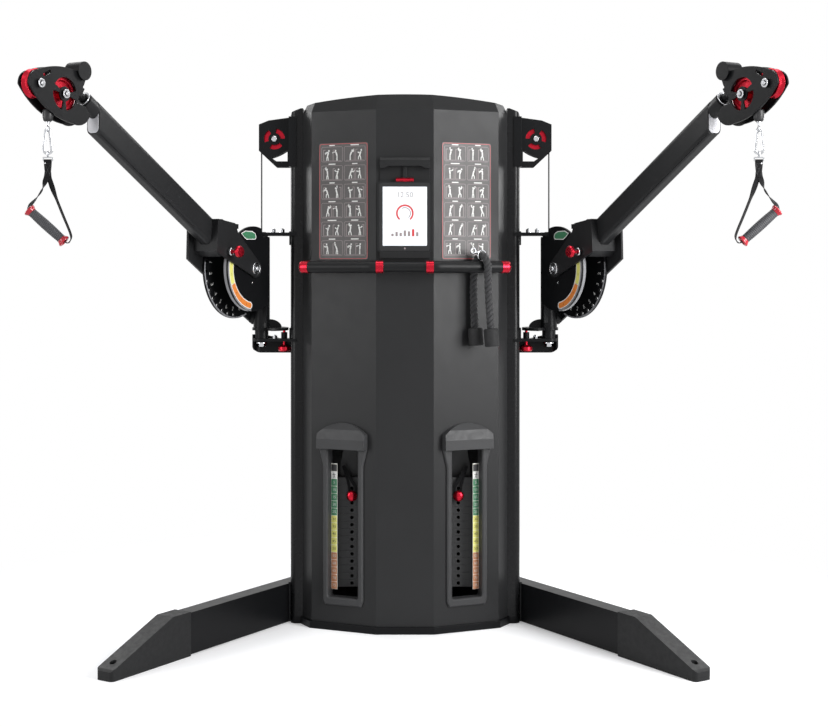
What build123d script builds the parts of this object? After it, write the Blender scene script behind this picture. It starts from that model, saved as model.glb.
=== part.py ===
from build123d import *

import math
import os

# Cable crossover machine: a faceted tower with two weight stacks and two swinging arms.
# Millimetres. X is across the tower, -Y is the side the user faces, Z is up.
# The origin is on the floor, under the middle of the tower. The +X side is modelled
# and mirrored, so every "right" piece has a "left" twin.

# ---- tower plan -------------------------------------------------------------
FACET_HALF = 98.0            # half width of the centre facet
SHOULDER_X = 324.0           # where a side facet ends
SHOULDER_Y = 136.0
FRONT_Y = 230.0              # centre facet to the middle plane
RECESS_X = 358.0             # where the dark recess strip meets the column
RECESS_Y = 78.0
COLUMN_X = 403.0             # outer face of a side column
SHEET = 4.0                  # wall of the shrouds
FIT = 0.3                    # gap between neighbouring bodies

# ---- heights ----------------------------------------------------------------
PLINTH_H = 24.0
PLINTH_STEP = 8.0
SHROUD_TOP = 1786.0
CROWN_Z = SHROUD_TOP + 54.0
CROWN_DROP = 22.0            # how far the arched cap falls at the shoulders
COLUMN_TOP = 1806.0

# ---- swivel axis and arm ----------------------------------------------------
SWIVEL_X = 508.0
SWIVEL_Y = -30.0
SWING = 60.0                 # arms stand this far forward of straight sideways
RAISE = 31.0                 # arms rise this far above level
PIVOT_OUT = 105.0            # arm pivot, outward of the swivel axis
PIVOT_Z = 1243.0
ARM_REACH = 1039.0           # arm pivot to main pulley, along the arm
CABLE_RISE = 22.0            # cable and collar above the arm's middle line
LIFT_NOTCH = 12.0            # between two lock holes of the arm
SWIVEL_NOTCH = 15.0          # between two lock holes of the swivel
RUN = 0.05                   # radial clearance of a running fit

# ---- cable and pulleys ------------------------------------------------------
CABLE_R = 2.5
MAIN_RIM = 54.0
MAIN_GROOVE = 45.5
GUIDE_RIM = 43.0
GUIDE_GROOVE = 36.0
TOP_RIM = 50.0
TOP_GROOVE = 44.0
TOP_PULLEY_Z = 1701.0
PULLEY_W = 24.0
MAIN_PITCH = MAIN_GROOVE + CABLE_R
TOP_PITCH = TOP_GROOVE + CABLE_R

# ---- weight stacks ----------------------------------------------------------
STACK_X = 185.0
STACK_Y = -57.0
PLATE_W = 230.0
PLATE_D = 110.0
PLATE_PITCH = 25.4
PLATE_GAP = 0.4
PLATE_COUNT = 15
LIFTED = 3                   # plates above the selector pin
STACK_BASE = 136.0
ROD_R = 10.0
ROD_OFFSET = 96.0
PIN_R = 5.0

# ---- window -----------------------------------------------------------------
WINDOW_W = 113.0
WINDOW_LOW = 114.0
WINDOW_HIGH = 625.0
BEZEL_W = 151.0
HOOD_W = 180.0
HOOD_TOP = 714.0
BEZEL_T = 10.0

# ---- bar --------------------------------------------------------------------
BAR_Z = 1249.0
BAR_R = 20.0
BAR_MID_R = 16.5
BAR_STANDOFF = 55.0
BAR_END_X = 328.0
COLLAR_X = 85.0

# ---- legs -------------------------------------------------------------------
LEG_TIP_X = 904.0
LEG_TIP_Y = -800.0
LEG_W = 60.0
LEG_H = 138.0
LEG_SEAM = 585.0
LEG_KINK = 670.0
TIP_H = 34.0
ANCHOR_R = 5.5
ANCHOR_FROM_TIP = 40.0

os.makedirs("parts", exist_ok=True)


def save(shape, name):
    shape.label = name
    export_step(shape, f"parts/{name}.step")


def save_pair(shape, name):
    """Write a right-hand piece and its mirror image."""
    save(shape, f"right_{name}")
    save(mirror(shape, about=Plane.YZ), f"left_{name}")


def both(shape):
    """A right-hand piece and its mirror image, as one group of solids."""
    return Compound(children=[*shape.solids(), *mirror(shape, about=Plane.YZ).solids()])


def group(*shapes):
    return Compound(children=[solid for shape in shapes for solid in shape.solids()])


def tower_half(points):
    """Close a front-to-back symmetric outline given by its right front points."""
    right = points + [(x, -y) for x, y in reversed(points)]
    return right + [(-x, y) for x, y in reversed(right)]


CORE = tower_half([(FACET_HALF, -FRONT_Y), (SHOULDER_X, -SHOULDER_Y), (RECESS_X, -RECESS_Y)])
FACET_ANGLE = math.degrees(math.atan2(FRONT_Y - SHOULDER_Y, SHOULDER_X - FACET_HALF))
FACET_LEN = math.hypot(FRONT_Y - SHOULDER_Y, SHOULDER_X - FACET_HALF)
along_facet = Vector(1, 0, 0).rotate(Axis.Z, FACET_ANGLE)
facet_normal = Vector(0, -1, 0).rotate(Axis.Z, FACET_ANGLE)
facet_middle = Vector((FACET_HALF + SHOULDER_X) / 2, -(FRONT_Y + SHOULDER_Y) / 2, 0)
facet_plane = Plane(origin=facet_middle, x_dir=along_facet, z_dir=facet_normal)
front_plane = Plane(origin=(0, -FRONT_Y, 0), x_dir=(1, 0, 0), z_dir=(0, -1, 0))


def column_footprint(inset=0.0):
    """Side column: square against the recess strip, rounded outside."""
    with BuildSketch() as sketch:
        with Locations(((RECESS_X + COLUMN_X) / 2, 0)):
            Rectangle(COLUMN_X - RECESS_X, 2 * RECESS_Y)
        outer = sketch.vertices().group_by(Axis.X)[-1]
        fillet(outer, 22)
        if inset:
            offset(amount=-inset)
    return sketch.sketch


# ---- base plinth ------------------------------------------------------------
FLOOR_T = 6.0
with BuildPart() as base_plinth:
    with BuildSketch():
        with BuildLine():
            Polyline(*CORE, close=True)
        make_face()
        offset(amount=PLINTH_STEP, kind=Kind.INTERSECTION)
        add(column_footprint())
        add(mirror(column_footprint(), about=Plane.YZ))
    extrude(amount=PLINTH_H)
    with BuildSketch(Plane.XY.offset(FLOOR_T)):
        with BuildLine():
            Polyline(*CORE, close=True)
        make_face()
        offset(amount=-3 * SHEET, kind=Kind.INTERSECTION)
    extrude(amount=PLINTH_H, mode=Mode.SUBTRACT)
save(base_plinth.part, "base_plinth")

# ---- shrouds ----------------------------------------------------------------
LIP_WALL = 3.0
LIP_CLEAR = 0.3
HOLE_W = WINDOW_W + 2 * (LIP_WALL + LIP_CLEAR)
WINDOW_H = WINDOW_HIGH - WINDOW_LOW
HOLE_H = WINDOW_H + 2 * (LIP_WALL + LIP_CLEAR)
WINDOW_MID = (WINDOW_LOW + WINDOW_HIGH) / 2


def shroud_shell():
    """Front half of the faceted skin, open at the back."""
    path = [p for p in CORE if p[1] < 0]
    right = sorted((p for p in path if p[0] > 0), key=lambda p: -p[0])
    points = right + [(-x, y) for x, y in reversed(right)]
    with BuildPart() as shell:
        with BuildSketch(Plane.XY.offset(PLINTH_H)):
            with BuildLine():
                Polyline(*points)
                offset(amount=SHEET, side=Side.RIGHT, kind=Kind.INTERSECTION)
            make_face()
        extrude(amount=SHROUD_TOP - PLINTH_H)
    return shell.part


with BuildPart() as front_shroud:
    add(shroud_shell())
    for plane in (facet_plane, Plane(origin=(-facet_middle.X, facet_middle.Y, 0),
                                     x_dir=(along_facet.X, -along_facet.Y, 0),
                                     z_dir=(-facet_normal.X, facet_normal.Y, 0))):
        with BuildSketch(plane):
            with Locations((0, WINDOW_MID)):
                RectangleRounded(HOLE_W, HOLE_H, 6)
        extrude(amount=3 * SHEET, both=True, mode=Mode.SUBTRACT)
save(front_shroud.part, "front_shroud")

with BuildPart() as rear_shroud:
    add(shroud_shell().rotate(Axis.Z, 180))
save(rear_shroud.part, "rear_shroud")

# ---- side columns -----------------------------------------------------------
COLUMN_WALL = 5.0
COLUMN_SHOULDER = 24.0
with BuildPart() as side_column:
    with BuildSketch(Plane.XY.offset(PLINTH_H)):
        add(column_footprint())
    extrude(amount=COLUMN_TOP - PLINTH_H)
    with BuildSketch(Plane.XY.offset(PLINTH_H)):
        add(column_footprint(COLUMN_WALL))
    extrude(amount=COLUMN_TOP - PLINTH_H - COLUMN_SHOULDER - COLUMN_WALL, mode=Mode.SUBTRACT)
    with BuildSketch(Plane.XZ.offset(-2 * RECESS_Y)):
        with BuildLine():
            Polyline((RECESS_X + 8, COLUMN_TOP), (COLUMN_X - 6, COLUMN_TOP - 12),
                     (COLUMN_X, COLUMN_TOP - COLUMN_SHOULDER), (COLUMN_X + 9, COLUMN_TOP),
                     (COLUMN_X, COLUMN_TOP + 9), close=True)
        make_face()
    extrude(amount=4 * RECESS_Y, mode=Mode.SUBTRACT)
save(both(side_column.part), "side_columns")

# ---- top cap ----------------------------------------------------------------
CAP_WALL = 4.0
ARCH_R = (SHOULDER_X ** 2 + CROWN_DROP ** 2) / (2 * CROWN_DROP)


def cap_form(inset):
    """Arched, slope-sided cap, shrunk all round by inset."""
    with BuildPart() as form:
        with BuildSketch(Plane.XY.offset(SHROUD_TOP)):
            with BuildLine():
                Polyline(*CORE, close=True)
            make_face()
            if inset:
                offset(amount=-inset, kind=Kind.INTERSECTION)
        extrude(amount=CROWN_Z - SHROUD_TOP + 1, taper=26)
        with BuildSketch(Plane.XZ.offset(-2 * FRONT_Y)):
            with Locations((0, CROWN_Z - inset - ARCH_R)):
                Circle(ARCH_R)
        extrude(amount=4 * FRONT_Y, mode=Mode.INTERSECT)
    return form.part


with BuildPart() as top_cap:
    add(cap_form(0))
    add(cap_form(CAP_WALL), mode=Mode.SUBTRACT)
save(top_cap.part, "top_cap")

# ---- window bezels with their hoods -----------------------------------------
HOOD_PROUD = 30.0
LIP_DEPTH = 30.0
SILL = 27.0
HOOD_SHOULDER = HOOD_TOP - 38.0
with BuildPart() as window_bezel:
    with BuildSketch(facet_plane):
        with BuildLine():
            Polyline((-BEZEL_W / 2, WINDOW_LOW - 8), (-BEZEL_W / 2 + 8, WINDOW_LOW - SILL),
                     (BEZEL_W / 2 - 8, WINDOW_LOW - SILL), (BEZEL_W / 2, WINDOW_LOW - 8),
                     (BEZEL_W / 2, WINDOW_HIGH - 60), (HOOD_W / 2, WINDOW_HIGH),
                     (-HOOD_W / 2, WINDOW_HIGH), (-BEZEL_W / 2, WINDOW_HIGH - 60), close=True)
        make_face()
        with Locations((0, WINDOW_MID)):
            RectangleRounded(WINDOW_W, WINDOW_H, 8, mode=Mode.SUBTRACT)
    extrude(amount=BEZEL_T)
    rim = window_bezel.faces().sort_by(Axis(facet_plane.origin, facet_normal))[-1]
    chamfer(rim.outer_wire().edges(), 4)
    with BuildSketch(facet_plane):
        with Locations((0, WINDOW_MID)):
            RectangleRounded(WINDOW_W + 2 * LIP_WALL, WINDOW_H + 2 * LIP_WALL, 5)
            RectangleRounded(WINDOW_W, WINDOW_H, 8, mode=Mode.SUBTRACT)
    extrude(amount=-LIP_DEPTH)
    hood_side = Plane(origin=facet_middle, x_dir=facet_normal, z_dir=-along_facet)
    with BuildSketch(hood_side.offset(-HOOD_W / 2)):
        with BuildLine():
            Polyline((0, WINDOW_HIGH), (HOOD_PROUD, WINDOW_HIGH), (HOOD_PROUD, WINDOW_HIGH + 34),
                     (HOOD_PROUD - 9, HOOD_TOP - 22), (6, HOOD_TOP), (0, HOOD_TOP), close=True)
        make_face()
    extrude(amount=HOOD_W)
    with BuildSketch(facet_plane):
        with Locations((0, WINDOW_HIGH + HOOD_W / 2)):
            Rectangle(HOOD_W, HOOD_W)
        with BuildLine():
            arch = ThreePointArc((-HOOD_W / 2, HOOD_SHOULDER), (0, HOOD_TOP), (HOOD_W / 2, HOOD_SHOULDER))
            Polyline(arch @ 1, (HOOD_W / 2, WINDOW_HIGH), (-HOOD_W / 2, WINDOW_HIGH), arch @ 0)
        make_face(mode=Mode.SUBTRACT)
    extrude(amount=2 * HOOD_PROUD, mode=Mode.SUBTRACT)
save(both(window_bezel.part), "window_bezels")

# ---- weight number strips ---------------------------------------------------
LABEL_W = 23.0
LABEL_T = 2.0
LABEL_TOP = 570.0
with BuildPart() as weight_label:
    with BuildSketch(facet_plane.offset(2 * SHEET - LIP_DEPTH)):
        with Locations(((WINDOW_W - LABEL_W) / 2, (STACK_BASE + LABEL_TOP) / 2)):
            Rectangle(LABEL_W, LABEL_TOP - STACK_BASE)
    extrude(amount=LABEL_T)
save(both(weight_label.part), "weight_labels")

# ---- exercise charts --------------------------------------------------------
CHART_W = 185.0
CHART_LOW = 1275.0
CHART_HIGH = 1675.0
with BuildPart() as exercise_chart:
    with BuildSketch(facet_plane):
        with Locations((0, (CHART_LOW + CHART_HIGH) / 2)):
            RectangleRounded(CHART_W, CHART_HIGH - CHART_LOW, 6)
    extrude(amount=1.5)
save(both(exercise_chart.part), "exercise_charts")

# ---- guide rods, bumpers and weight plates ----------------------------------
STEM_W = 30.0
STEM_D = 14.0
STEM_CLEAR = 1.5
ROD_TOP = SHROUD_TOP - 40
FRONT_OF_STACK = STACK_Y - PLATE_D / 2

with BuildPart() as guide_rods:
    with BuildSketch(Plane.XY.offset(FLOOR_T)):
        with Locations((STACK_X - ROD_OFFSET, STACK_Y), (STACK_X + ROD_OFFSET, STACK_Y)):
            Circle(ROD_R)
    extrude(amount=ROD_TOP - FLOOR_T)
    with BuildSketch(Plane.XY.offset(ROD_TOP)):
        with Locations((STACK_X, STACK_Y)):
            RectangleRounded(2 * ROD_OFFSET + 5 * ROD_R, 5 * ROD_R, ROD_R)
    extrude(amount=8)
    with BuildSketch(Plane.XY.offset(ROD_TOP)):
        with Locations(((STACK_X + RECESS_X) / 2 + ROD_OFFSET / 2, STACK_Y)):
            Rectangle(RECESS_X - STACK_X - ROD_OFFSET, 2.4 * ROD_R)
    extrude(amount=8)
save(both(guide_rods.part), "guide_rods")

with BuildPart() as stack_bumpers:
    with BuildSketch(Plane.XY.offset(FLOOR_T)):
        with Locations((STACK_X - ROD_OFFSET, STACK_Y), (STACK_X + ROD_OFFSET, STACK_Y)):
            Circle(2.4 * ROD_R)
            Circle(ROD_R + FIT, mode=Mode.SUBTRACT)
    extrude(amount=STACK_BASE - FLOOR_T)
save(both(stack_bumpers.part), "stack_bumpers")


def plate_stack(first, count):
    """Weight plates with a stem slot, guide notches and a pin hole each."""
    with BuildPart() as plates:
        for row in range(first, first + count):
            low = STACK_BASE + row * PLATE_PITCH
            with BuildSketch(Plane.XY.offset(low)):
                with Locations((STACK_X, STACK_Y)):
                    Rectangle(PLATE_W, PLATE_D)
                    Rectangle(STEM_W + 2 * STEM_CLEAR, STEM_D + 2 * STEM_CLEAR, mode=Mode.SUBTRACT)
                notch = ROD_R + 1
                for side in (-1, 1):
                    with Locations((STACK_X + side * (ROD_OFFSET + PLATE_W / 2), STACK_Y)):
                        Rectangle(PLATE_W + 2 * notch, 2 * notch, mode=Mode.SUBTRACT)
            extrude(amount=PLATE_PITCH - PLATE_GAP)
            with BuildSketch(Plane.XZ.offset(-FRONT_OF_STACK)):
                with Locations((STACK_X, low + PLATE_PITCH / 2)):
                    Circle(PIN_R + 1)
            extrude(amount=-PLATE_D / 2, mode=Mode.SUBTRACT)
    return plates.part


STATIC = PLATE_COUNT - LIFTED
save(both(plate_stack(0, STATIC)), "weight_stacks")

STACK_TOP = STACK_BASE + PLATE_COUNT * PLATE_PITCH
BLOCK_W = 84.0
BLOCK_D = 46.0
BLOCK_H = 108.0
LIFT_PULLEY_R = 36.0
lift_axis_z = STACK_TOP + BLOCK_H - LIFT_PULLEY_R
with BuildPart() as carriage:
    block_face = Plane(origin=(STACK_X, STACK_Y - BLOCK_D / 2, STACK_TOP), x_dir=(1, 0, 0), z_dir=(0, -1, 0))
    with BuildSketch(block_face):
        with BuildLine():
            Polyline((-BLOCK_W / 2, -PLATE_GAP), (BLOCK_W / 2, -PLATE_GAP), (BLOCK_W / 2, 40),
                     (BLOCK_W / 2 - 14, BLOCK_H), (14 - BLOCK_W / 2, BLOCK_H), (-BLOCK_W / 2, 40), close=True)
        make_face()
    extrude(amount=-BLOCK_D)
    with BuildSketch(Plane.XY.offset(STACK_TOP + BLOCK_H)):
        with Locations((STACK_X, STACK_Y)):
            Rectangle(BLOCK_W, BLOCK_D - 16)
    extrude(amount=-(BLOCK_H - 22), mode=Mode.SUBTRACT)
    with BuildSketch(Plane.XY.offset(STACK_TOP - PLATE_GAP)):
        with Locations((STACK_X, STACK_Y)):
            Rectangle(STEM_W, STEM_D)
    extrude(amount=-(PLATE_COUNT * PLATE_PITCH - 8))
    with BuildSketch(Plane.XZ.offset(-STACK_Y + STEM_D)):
        rows = [STACK_BASE + (row + 0.5) * PLATE_PITCH for row in range(1, PLATE_COUNT)]
        with Locations(*[(STACK_X, row_z) for row_z in rows]):
            Circle(PIN_R + 1)
    extrude(amount=-2 * STEM_D, mode=Mode.SUBTRACT)
with BuildPart() as lift_wheel:
    with BuildSketch(Plane.XZ.offset(-STACK_Y)):
        with Locations((STACK_X, lift_axis_z)):
            Circle(LIFT_PULLEY_R)
    extrude(amount=(BLOCK_D - 16) / 2, both=True)
save_pair(group(plate_stack(STATIC, LIFTED), carriage.part, lift_wheel.part), "lifted_plates")

# Selector pin: a round knob on a pin that reaches through the stem under the lifted plates.
KNOB_R = 19.0
KNOB_HALF = 12.0             # half the knob's depth
pin_z = STACK_BASE + (STATIC + 0.5) * PLATE_PITCH
with BuildPart() as selector_pin:
    with BuildSketch(Plane.XZ.offset(-STACK_Y - STEM_D / 2)):
        with Locations((STACK_X, pin_z)):
            Circle(PIN_R)
    extrude(amount=(PLATE_D + STEM_D) / 2 + FIT + KNOB_HALF)
    knob_plane = Plane(origin=(STACK_X, FRONT_OF_STACK - FIT, pin_z), x_dir=(1, 0, 0), z_dir=(0, 0, 1))
    with BuildSketch(knob_plane):
        with Locations((0, -KNOB_HALF)):
            Ellipse(KNOB_R, KNOB_HALF)
        with Locations((-KNOB_R, -KNOB_HALF)):
            Rectangle(2 * KNOB_R, 2 * KNOB_HALF, mode=Mode.SUBTRACT)
    revolve(axis=Axis((STACK_X, 0, pin_z), (0, 1, 0)))
save_pair(selector_pin.part, "selector_pin")

# ---- planes of the swinging arm ---------------------------------------------
out_dir = Vector(1, 0, 0).rotate(Axis.Z, -SWING)
face_dir = Vector(0, -1, 0).rotate(Axis.Z, -SWING)
up_dir = Vector(0, 0, 1)
arm_dir = out_dir * math.cos(math.radians(RAISE)) + up_dir * math.sin(math.radians(RAISE))
swivel_axis = Vector(SWIVEL_X, SWIVEL_Y, 0)
pivot_point = swivel_axis + out_dir * PIVOT_OUT + up_dir * PIVOT_Z
swing_plane = Plane(origin=pivot_point, x_dir=out_dir, z_dir=face_dir)
arm_plane = Plane(origin=pivot_point, x_dir=arm_dir, z_dir=face_dir)
head_point = arm_plane.from_local_coords((ARM_REACH, CABLE_RISE - MAIN_PITCH, 0))
head_plane = Plane(origin=head_point, x_dir=out_dir, z_dir=face_dir)
post_plane = Plane(origin=swivel_axis, x_dir=(1, 0, 0), z_dir=(0, 0, 1))
tower_side = Plane(origin=(0, SWIVEL_Y, 0), x_dir=(1, 0, 0), z_dir=(0, -1, 0))


def draw_arc_slot(centre, inner, outer, start, sweep):
    """Kidney-shaped cut in the sketch that is being drawn."""
    with BuildLine() as kidney:
        rim = CenterArc(centre, outer, start, sweep)
        root = CenterArc(centre, inner, start, sweep)
        Line(rim @ 0, root @ 0)
        Line(rim @ 1, root @ 1)
    make_face(kidney.edges(), mode=Mode.SUBTRACT)


def make_pulley(plane, rim, groove, bore, hub_width):
    """Grooved wheel turned about the plane's normal."""
    half = PULLEY_W / 2
    profile = Plane(origin=plane.origin, x_dir=plane.x_dir, z_dir=-plane.y_dir)
    with BuildPart() as wheel:
        with BuildSketch(profile):
            with BuildLine():
                Polyline((bore, -hub_width / 2), (bore + 9, -hub_width / 2), (bore + 9, -5),
                         (groove - 8, -5), (groove - 4, -half), (rim - 1.5, -half), (rim, -half + 1.5),
                         (groove, -CABLE_R), (groove, CABLE_R), (rim, half - 1.5), (rim - 1.5, half),
                         (groove - 4, half), (groove - 8, 5), (bore + 9, 5),
                         (bore + 9, hub_width / 2), (bore, hub_width / 2), close=True)
            make_face()
        revolve(axis=Axis(plane.origin, plane.z_dir))
    return wheel.part


# ---- top pulleys in their brackets ------------------------------------------
SIDE_PLATE_T = 5.0
SIDE_GAP = 28.0
AXLE_R = 6.0
TOP_X = SWIVEL_X - TOP_PITCH - FIT
BOLT_HEAD_R = 10.0
BOLT_HEAD_H = 6.0
top_pulley_plane = Plane(origin=(TOP_X, SWIVEL_Y, TOP_PULLEY_Z), x_dir=(1, 0, 0), z_dir=(0, -1, 0))
BRACKET_LOW = TOP_PULLEY_Z - 100
BRACKET_HIGH = TOP_PULLEY_Z + 76
WRAP_IN = 22.0               # how far a bracket reaches round onto the column's front


def column_wrap(low, high):
    """Angle that carries a bracket round the front corner of the column."""
    front = -RECESS_Y - SIDE_PLATE_T
    with BuildPart() as wrap:
        with BuildSketch(Plane.XY.offset(low)):
            with BuildLine():
                Polyline((COLUMN_X, SWIVEL_Y), (COLUMN_X + SIDE_PLATE_T, SWIVEL_Y),
                         (COLUMN_X + SIDE_PLATE_T, front), (COLUMN_X - WRAP_IN, front),
                         (COLUMN_X - WRAP_IN, -RECESS_Y), (COLUMN_X, -RECESS_Y), close=True)
            make_face()
        extrude(amount=high - low)
    return wrap.part


with BuildPart() as top_bracket:
    with BuildSketch(tower_side.offset(-SIDE_GAP / 2 - SIDE_PLATE_T)):
        with BuildLine():
            Polyline((COLUMN_X, BRACKET_HIGH), (SWIVEL_X - 26, BRACKET_HIGH - 11),
                     (SWIVEL_X + 8, BRACKET_HIGH - 25), (SWIVEL_X + 8, BRACKET_LOW + 58),
                     (SWIVEL_X - 54, BRACKET_LOW), (COLUMN_X, BRACKET_LOW), close=True)
        make_face()
        with BuildLine():
            window = ThreePointArc((COLUMN_X + 68, BRACKET_LOW + 33), (COLUMN_X + 42, BRACKET_LOW + 42),
                                   (COLUMN_X + 12, BRACKET_LOW + 60))
            Polyline(window @ 1, (COLUMN_X + 12, BRACKET_LOW + 21), (COLUMN_X + 51, BRACKET_LOW + 21),
                     window @ 0)
        make_face(mode=Mode.SUBTRACT)
        for turn in (100, 220, 340):
            draw_arc_slot((TOP_X, TOP_PULLEY_Z), 21, 37, turn, 78)
        with Locations((TOP_X, TOP_PULLEY_Z)):
            Circle(AXLE_R, mode=Mode.SUBTRACT)
    rear_plate = extrude(amount=SIDE_PLATE_T)
    add(rear_plate.moved(Location((0, -SIDE_GAP - SIDE_PLATE_T, 0))))
    with BuildSketch(Plane.YZ.offset(COLUMN_X)):
        with Locations((SWIVEL_Y, (BRACKET_LOW + BRACKET_HIGH) / 2)):
            Rectangle(SIDE_GAP + 20, BRACKET_HIGH - BRACKET_LOW)
    extrude(amount=SIDE_PLATE_T)
    add(column_wrap(BRACKET_LOW, BRACKET_HIGH))
save(both(top_bracket.part), "top_pulley_brackets")
save_pair(make_pulley(top_pulley_plane, TOP_RIM, TOP_GROOVE, AXLE_R + RUN, SIDE_GAP - 1), "top_pulley")

with BuildPart() as pulley_axle:
    with BuildSketch(top_pulley_plane.offset(-SIDE_GAP / 2 - SIDE_PLATE_T)):
        Circle(AXLE_R)
    extrude(amount=SIDE_GAP + 2 * SIDE_PLATE_T)
    for side in (1, -1):
        with BuildSketch(top_pulley_plane.offset(side * (SIDE_GAP / 2 + SIDE_PLATE_T))):
            Circle(BOLT_HEAD_R)
        extrude(amount=side * BOLT_HEAD_H)
    chamfer(pulley_axle.edges().filter_by(GeomType.CIRCLE).sort_by(Axis.Y)[:1], 1.5)

# ---- lift cable outside the tower -------------------------------------------
CABLE_LOW = 1330.0
cable_turn = SWIVEL_X - TOP_X
with BuildPart() as lift_cable:
    with BuildLine(Plane.XZ.offset(-SWIVEL_Y)) as cable_path:
        Line((SWIVEL_X, CABLE_LOW), (SWIVEL_X, TOP_PULLEY_Z))
        CenterArc((TOP_X, TOP_PULLEY_Z), cable_turn, 0, 90)
        Line((TOP_X, TOP_PULLEY_Z + cable_turn), (COLUMN_X + SIDE_PLATE_T + FIT, TOP_PULLEY_Z + cable_turn))
    with BuildSketch(Plane(origin=(SWIVEL_X, SWIVEL_Y, CABLE_LOW), z_dir=(0, 0, 1))):
        Circle(CABLE_R)
    sweep(path=cable_path.wire())
save(both(lift_cable.part), "lift_cables")

# ---- fixed pivot brackets ---------------------------------------------------
UPPER_PLATE_Z = 1359.0
UPPER_PLATE_T = 12.0
LOWER_PLATE_Z = 987.0
LOWER_PLATE_T = 10.0
BRACKET_END_R = 30.0
JOURNAL_R = 15.0
INDEX_R = 80.0
PLUNGER_R = 5.0
PLUNGER_CLEAR = 0.5
CUP_T = 6.0                  # wall round the foot of the post, on the lower plate
CUP_R = BRACKET_END_R + CUP_T / 2
CUP_LOW = LOWER_PLATE_Z - 42.0
CUP_HIGH = LOWER_PLATE_Z + 24.0
CUP_ROUND = 28.0


def bracket_plate(low, thick, end_r):
    """Plate from the column to a rounded nose around the swivel axis."""
    with BuildPart() as plate:
        with BuildSketch(post_plane.offset(low)):
            with BuildLine():
                Polyline((COLUMN_X - SWIVEL_X, end_r + 12), (COLUMN_X - SWIVEL_X + 14, end_r + 12),
                         (COLUMN_X - SWIVEL_X + 34, end_r), (0, end_r), (0, -end_r),
                         (COLUMN_X - SWIVEL_X, -end_r + 4), close=True)
            make_face()
            Circle(end_r)
            Circle(JOURNAL_R + RUN, mode=Mode.SUBTRACT)
        extrude(amount=thick)
    return plate.part


with BuildPart() as bracket_cup:
    with BuildSketch(post_plane.offset(CUP_LOW)):
        Circle(CUP_R)
        Circle(CUP_R - CUP_T, mode=Mode.SUBTRACT)
        with Locations((-CUP_R, 0), (0, -CUP_R - CUP_T)):
            Rectangle(2 * CUP_R, 2 * CUP_R, mode=Mode.SUBTRACT)
        with Locations(((COLUMN_X - SWIVEL_X) / 2, CUP_R - CUP_T / 2)):
            Rectangle(SWIVEL_X - COLUMN_X, CUP_T)
    extrude(amount=CUP_HIGH - CUP_LOW)
    with BuildSketch(tower_side.offset(-2 * CUP_R)):
        with BuildLine():
            outer_x = SWIVEL_X + CUP_R
            bottom = Line((COLUMN_X, CUP_LOW), (outer_x - CUP_ROUND, CUP_LOW))
            corner = CenterArc((outer_x - CUP_ROUND, CUP_LOW + CUP_ROUND), CUP_ROUND, -90, 90)
            Polyline(corner @ 1, (outer_x, CUP_HIGH), (SWIVEL_X, CUP_HIGH), (COLUMN_X, LOWER_PLATE_Z),
                     bottom @ 0)
        make_face()
    extrude(amount=4 * CUP_R, mode=Mode.INTERSECT)

with BuildPart() as pivot_bracket:
    add(bracket_plate(UPPER_PLATE_Z, UPPER_PLATE_T, BRACKET_END_R))
    add(bracket_plate(LOWER_PLATE_Z, LOWER_PLATE_T, BRACKET_END_R))
    with BuildSketch(post_plane.offset(LOWER_PLATE_Z)):
        with Locations((-INDEX_R, 0)):
            Circle(PLUNGER_R + RUN)
    extrude(amount=LOWER_PLATE_T, mode=Mode.SUBTRACT)
    with BuildSketch(post_plane.offset(LOWER_PLATE_Z + LOWER_PLATE_T)):
        with Locations((-INDEX_R, 0)):
            Circle(11)
            Circle(PLUNGER_R + RUN, mode=Mode.SUBTRACT)
    extrude(amount=22)
    add(bracket_cup.part)
    with BuildSketch(Plane.YZ.offset(COLUMN_X)):
        with Locations((SWIVEL_Y + 4, UPPER_PLATE_Z - 8), (SWIVEL_Y + 4, LOWER_PLATE_Z + 24)):
            Rectangle(64, 48)
    extrude(amount=SIDE_PLATE_T)
    add(column_wrap(UPPER_PLATE_Z, UPPER_PLATE_Z + UPPER_PLATE_T))
    add(column_wrap(LOWER_PLATE_Z, LOWER_PLATE_Z + LOWER_PLATE_T))
save(both(pivot_bracket.part), "pivot_brackets")

with BuildPart() as bracket_bolts:
    upper_top = UPPER_PLATE_Z + UPPER_PLATE_T
    for level, spots, height in (
        (upper_top, [(-72, -16), (-40, -16), (-72, 20), (-40, 20)], 12),
        (LOWER_PLATE_Z + LOWER_PLATE_T, [(-46, -20), (-46, 20)], 9),
    ):
        with BuildSketch(post_plane.offset(level)):
            with Locations(*spots):
                RegularPolygon(7.5, 6)
        extrude(amount=height)
        with BuildSketch(post_plane.offset(level + height)):
            with Locations(*spots):
                Circle(4)
        extrude(amount=3)

# ---- swivel frame -----------------------------------------------------------
POST_R = 29.0
DISC_LOW = 1026.0
DISC_T = 10.0
DISC_R = 95.0
POST_TOP = 1352.0
FRONT_IN = 35.0              # inner face of the front plate, from the arm's middle plane
SECTOR_IN = 37.0
SWIVEL_PLATE_T = 8.0
FRONT_PLATE_R = 147.0
SECTOR_R = 173.0
LOCK_R = 160.0
LOCK_PIN_R = 6.0
BOLT_R = 12.0
WEB_OUT = 12.0               # inner edge of both plates, outward of the swivel axis
PLATE_TOP = 112.0
index_angles = [180 + SWIVEL_NOTCH * step for step in range(-5, 4)]
LOCK_LEAD = 10.0             # lock pin sits this far below the arm's axis
lock_angles = [RAISE - LOCK_LEAD - LIFT_NOTCH * step for step in range(-1, 10)]
edge = WEB_OUT - PIVOT_OUT


def draw_swivel_plate(radius):
    """Round plate about the arm pivot, trimmed at the post and below the top bracket."""
    Circle(radius)
    with Locations((edge - 200, 0)):
        Rectangle(400, 800, mode=Mode.SUBTRACT)
    with Locations((edge, PLATE_TOP + 100)):
        Rectangle(2 * 48, 200, mode=Mode.SUBTRACT)


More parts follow.
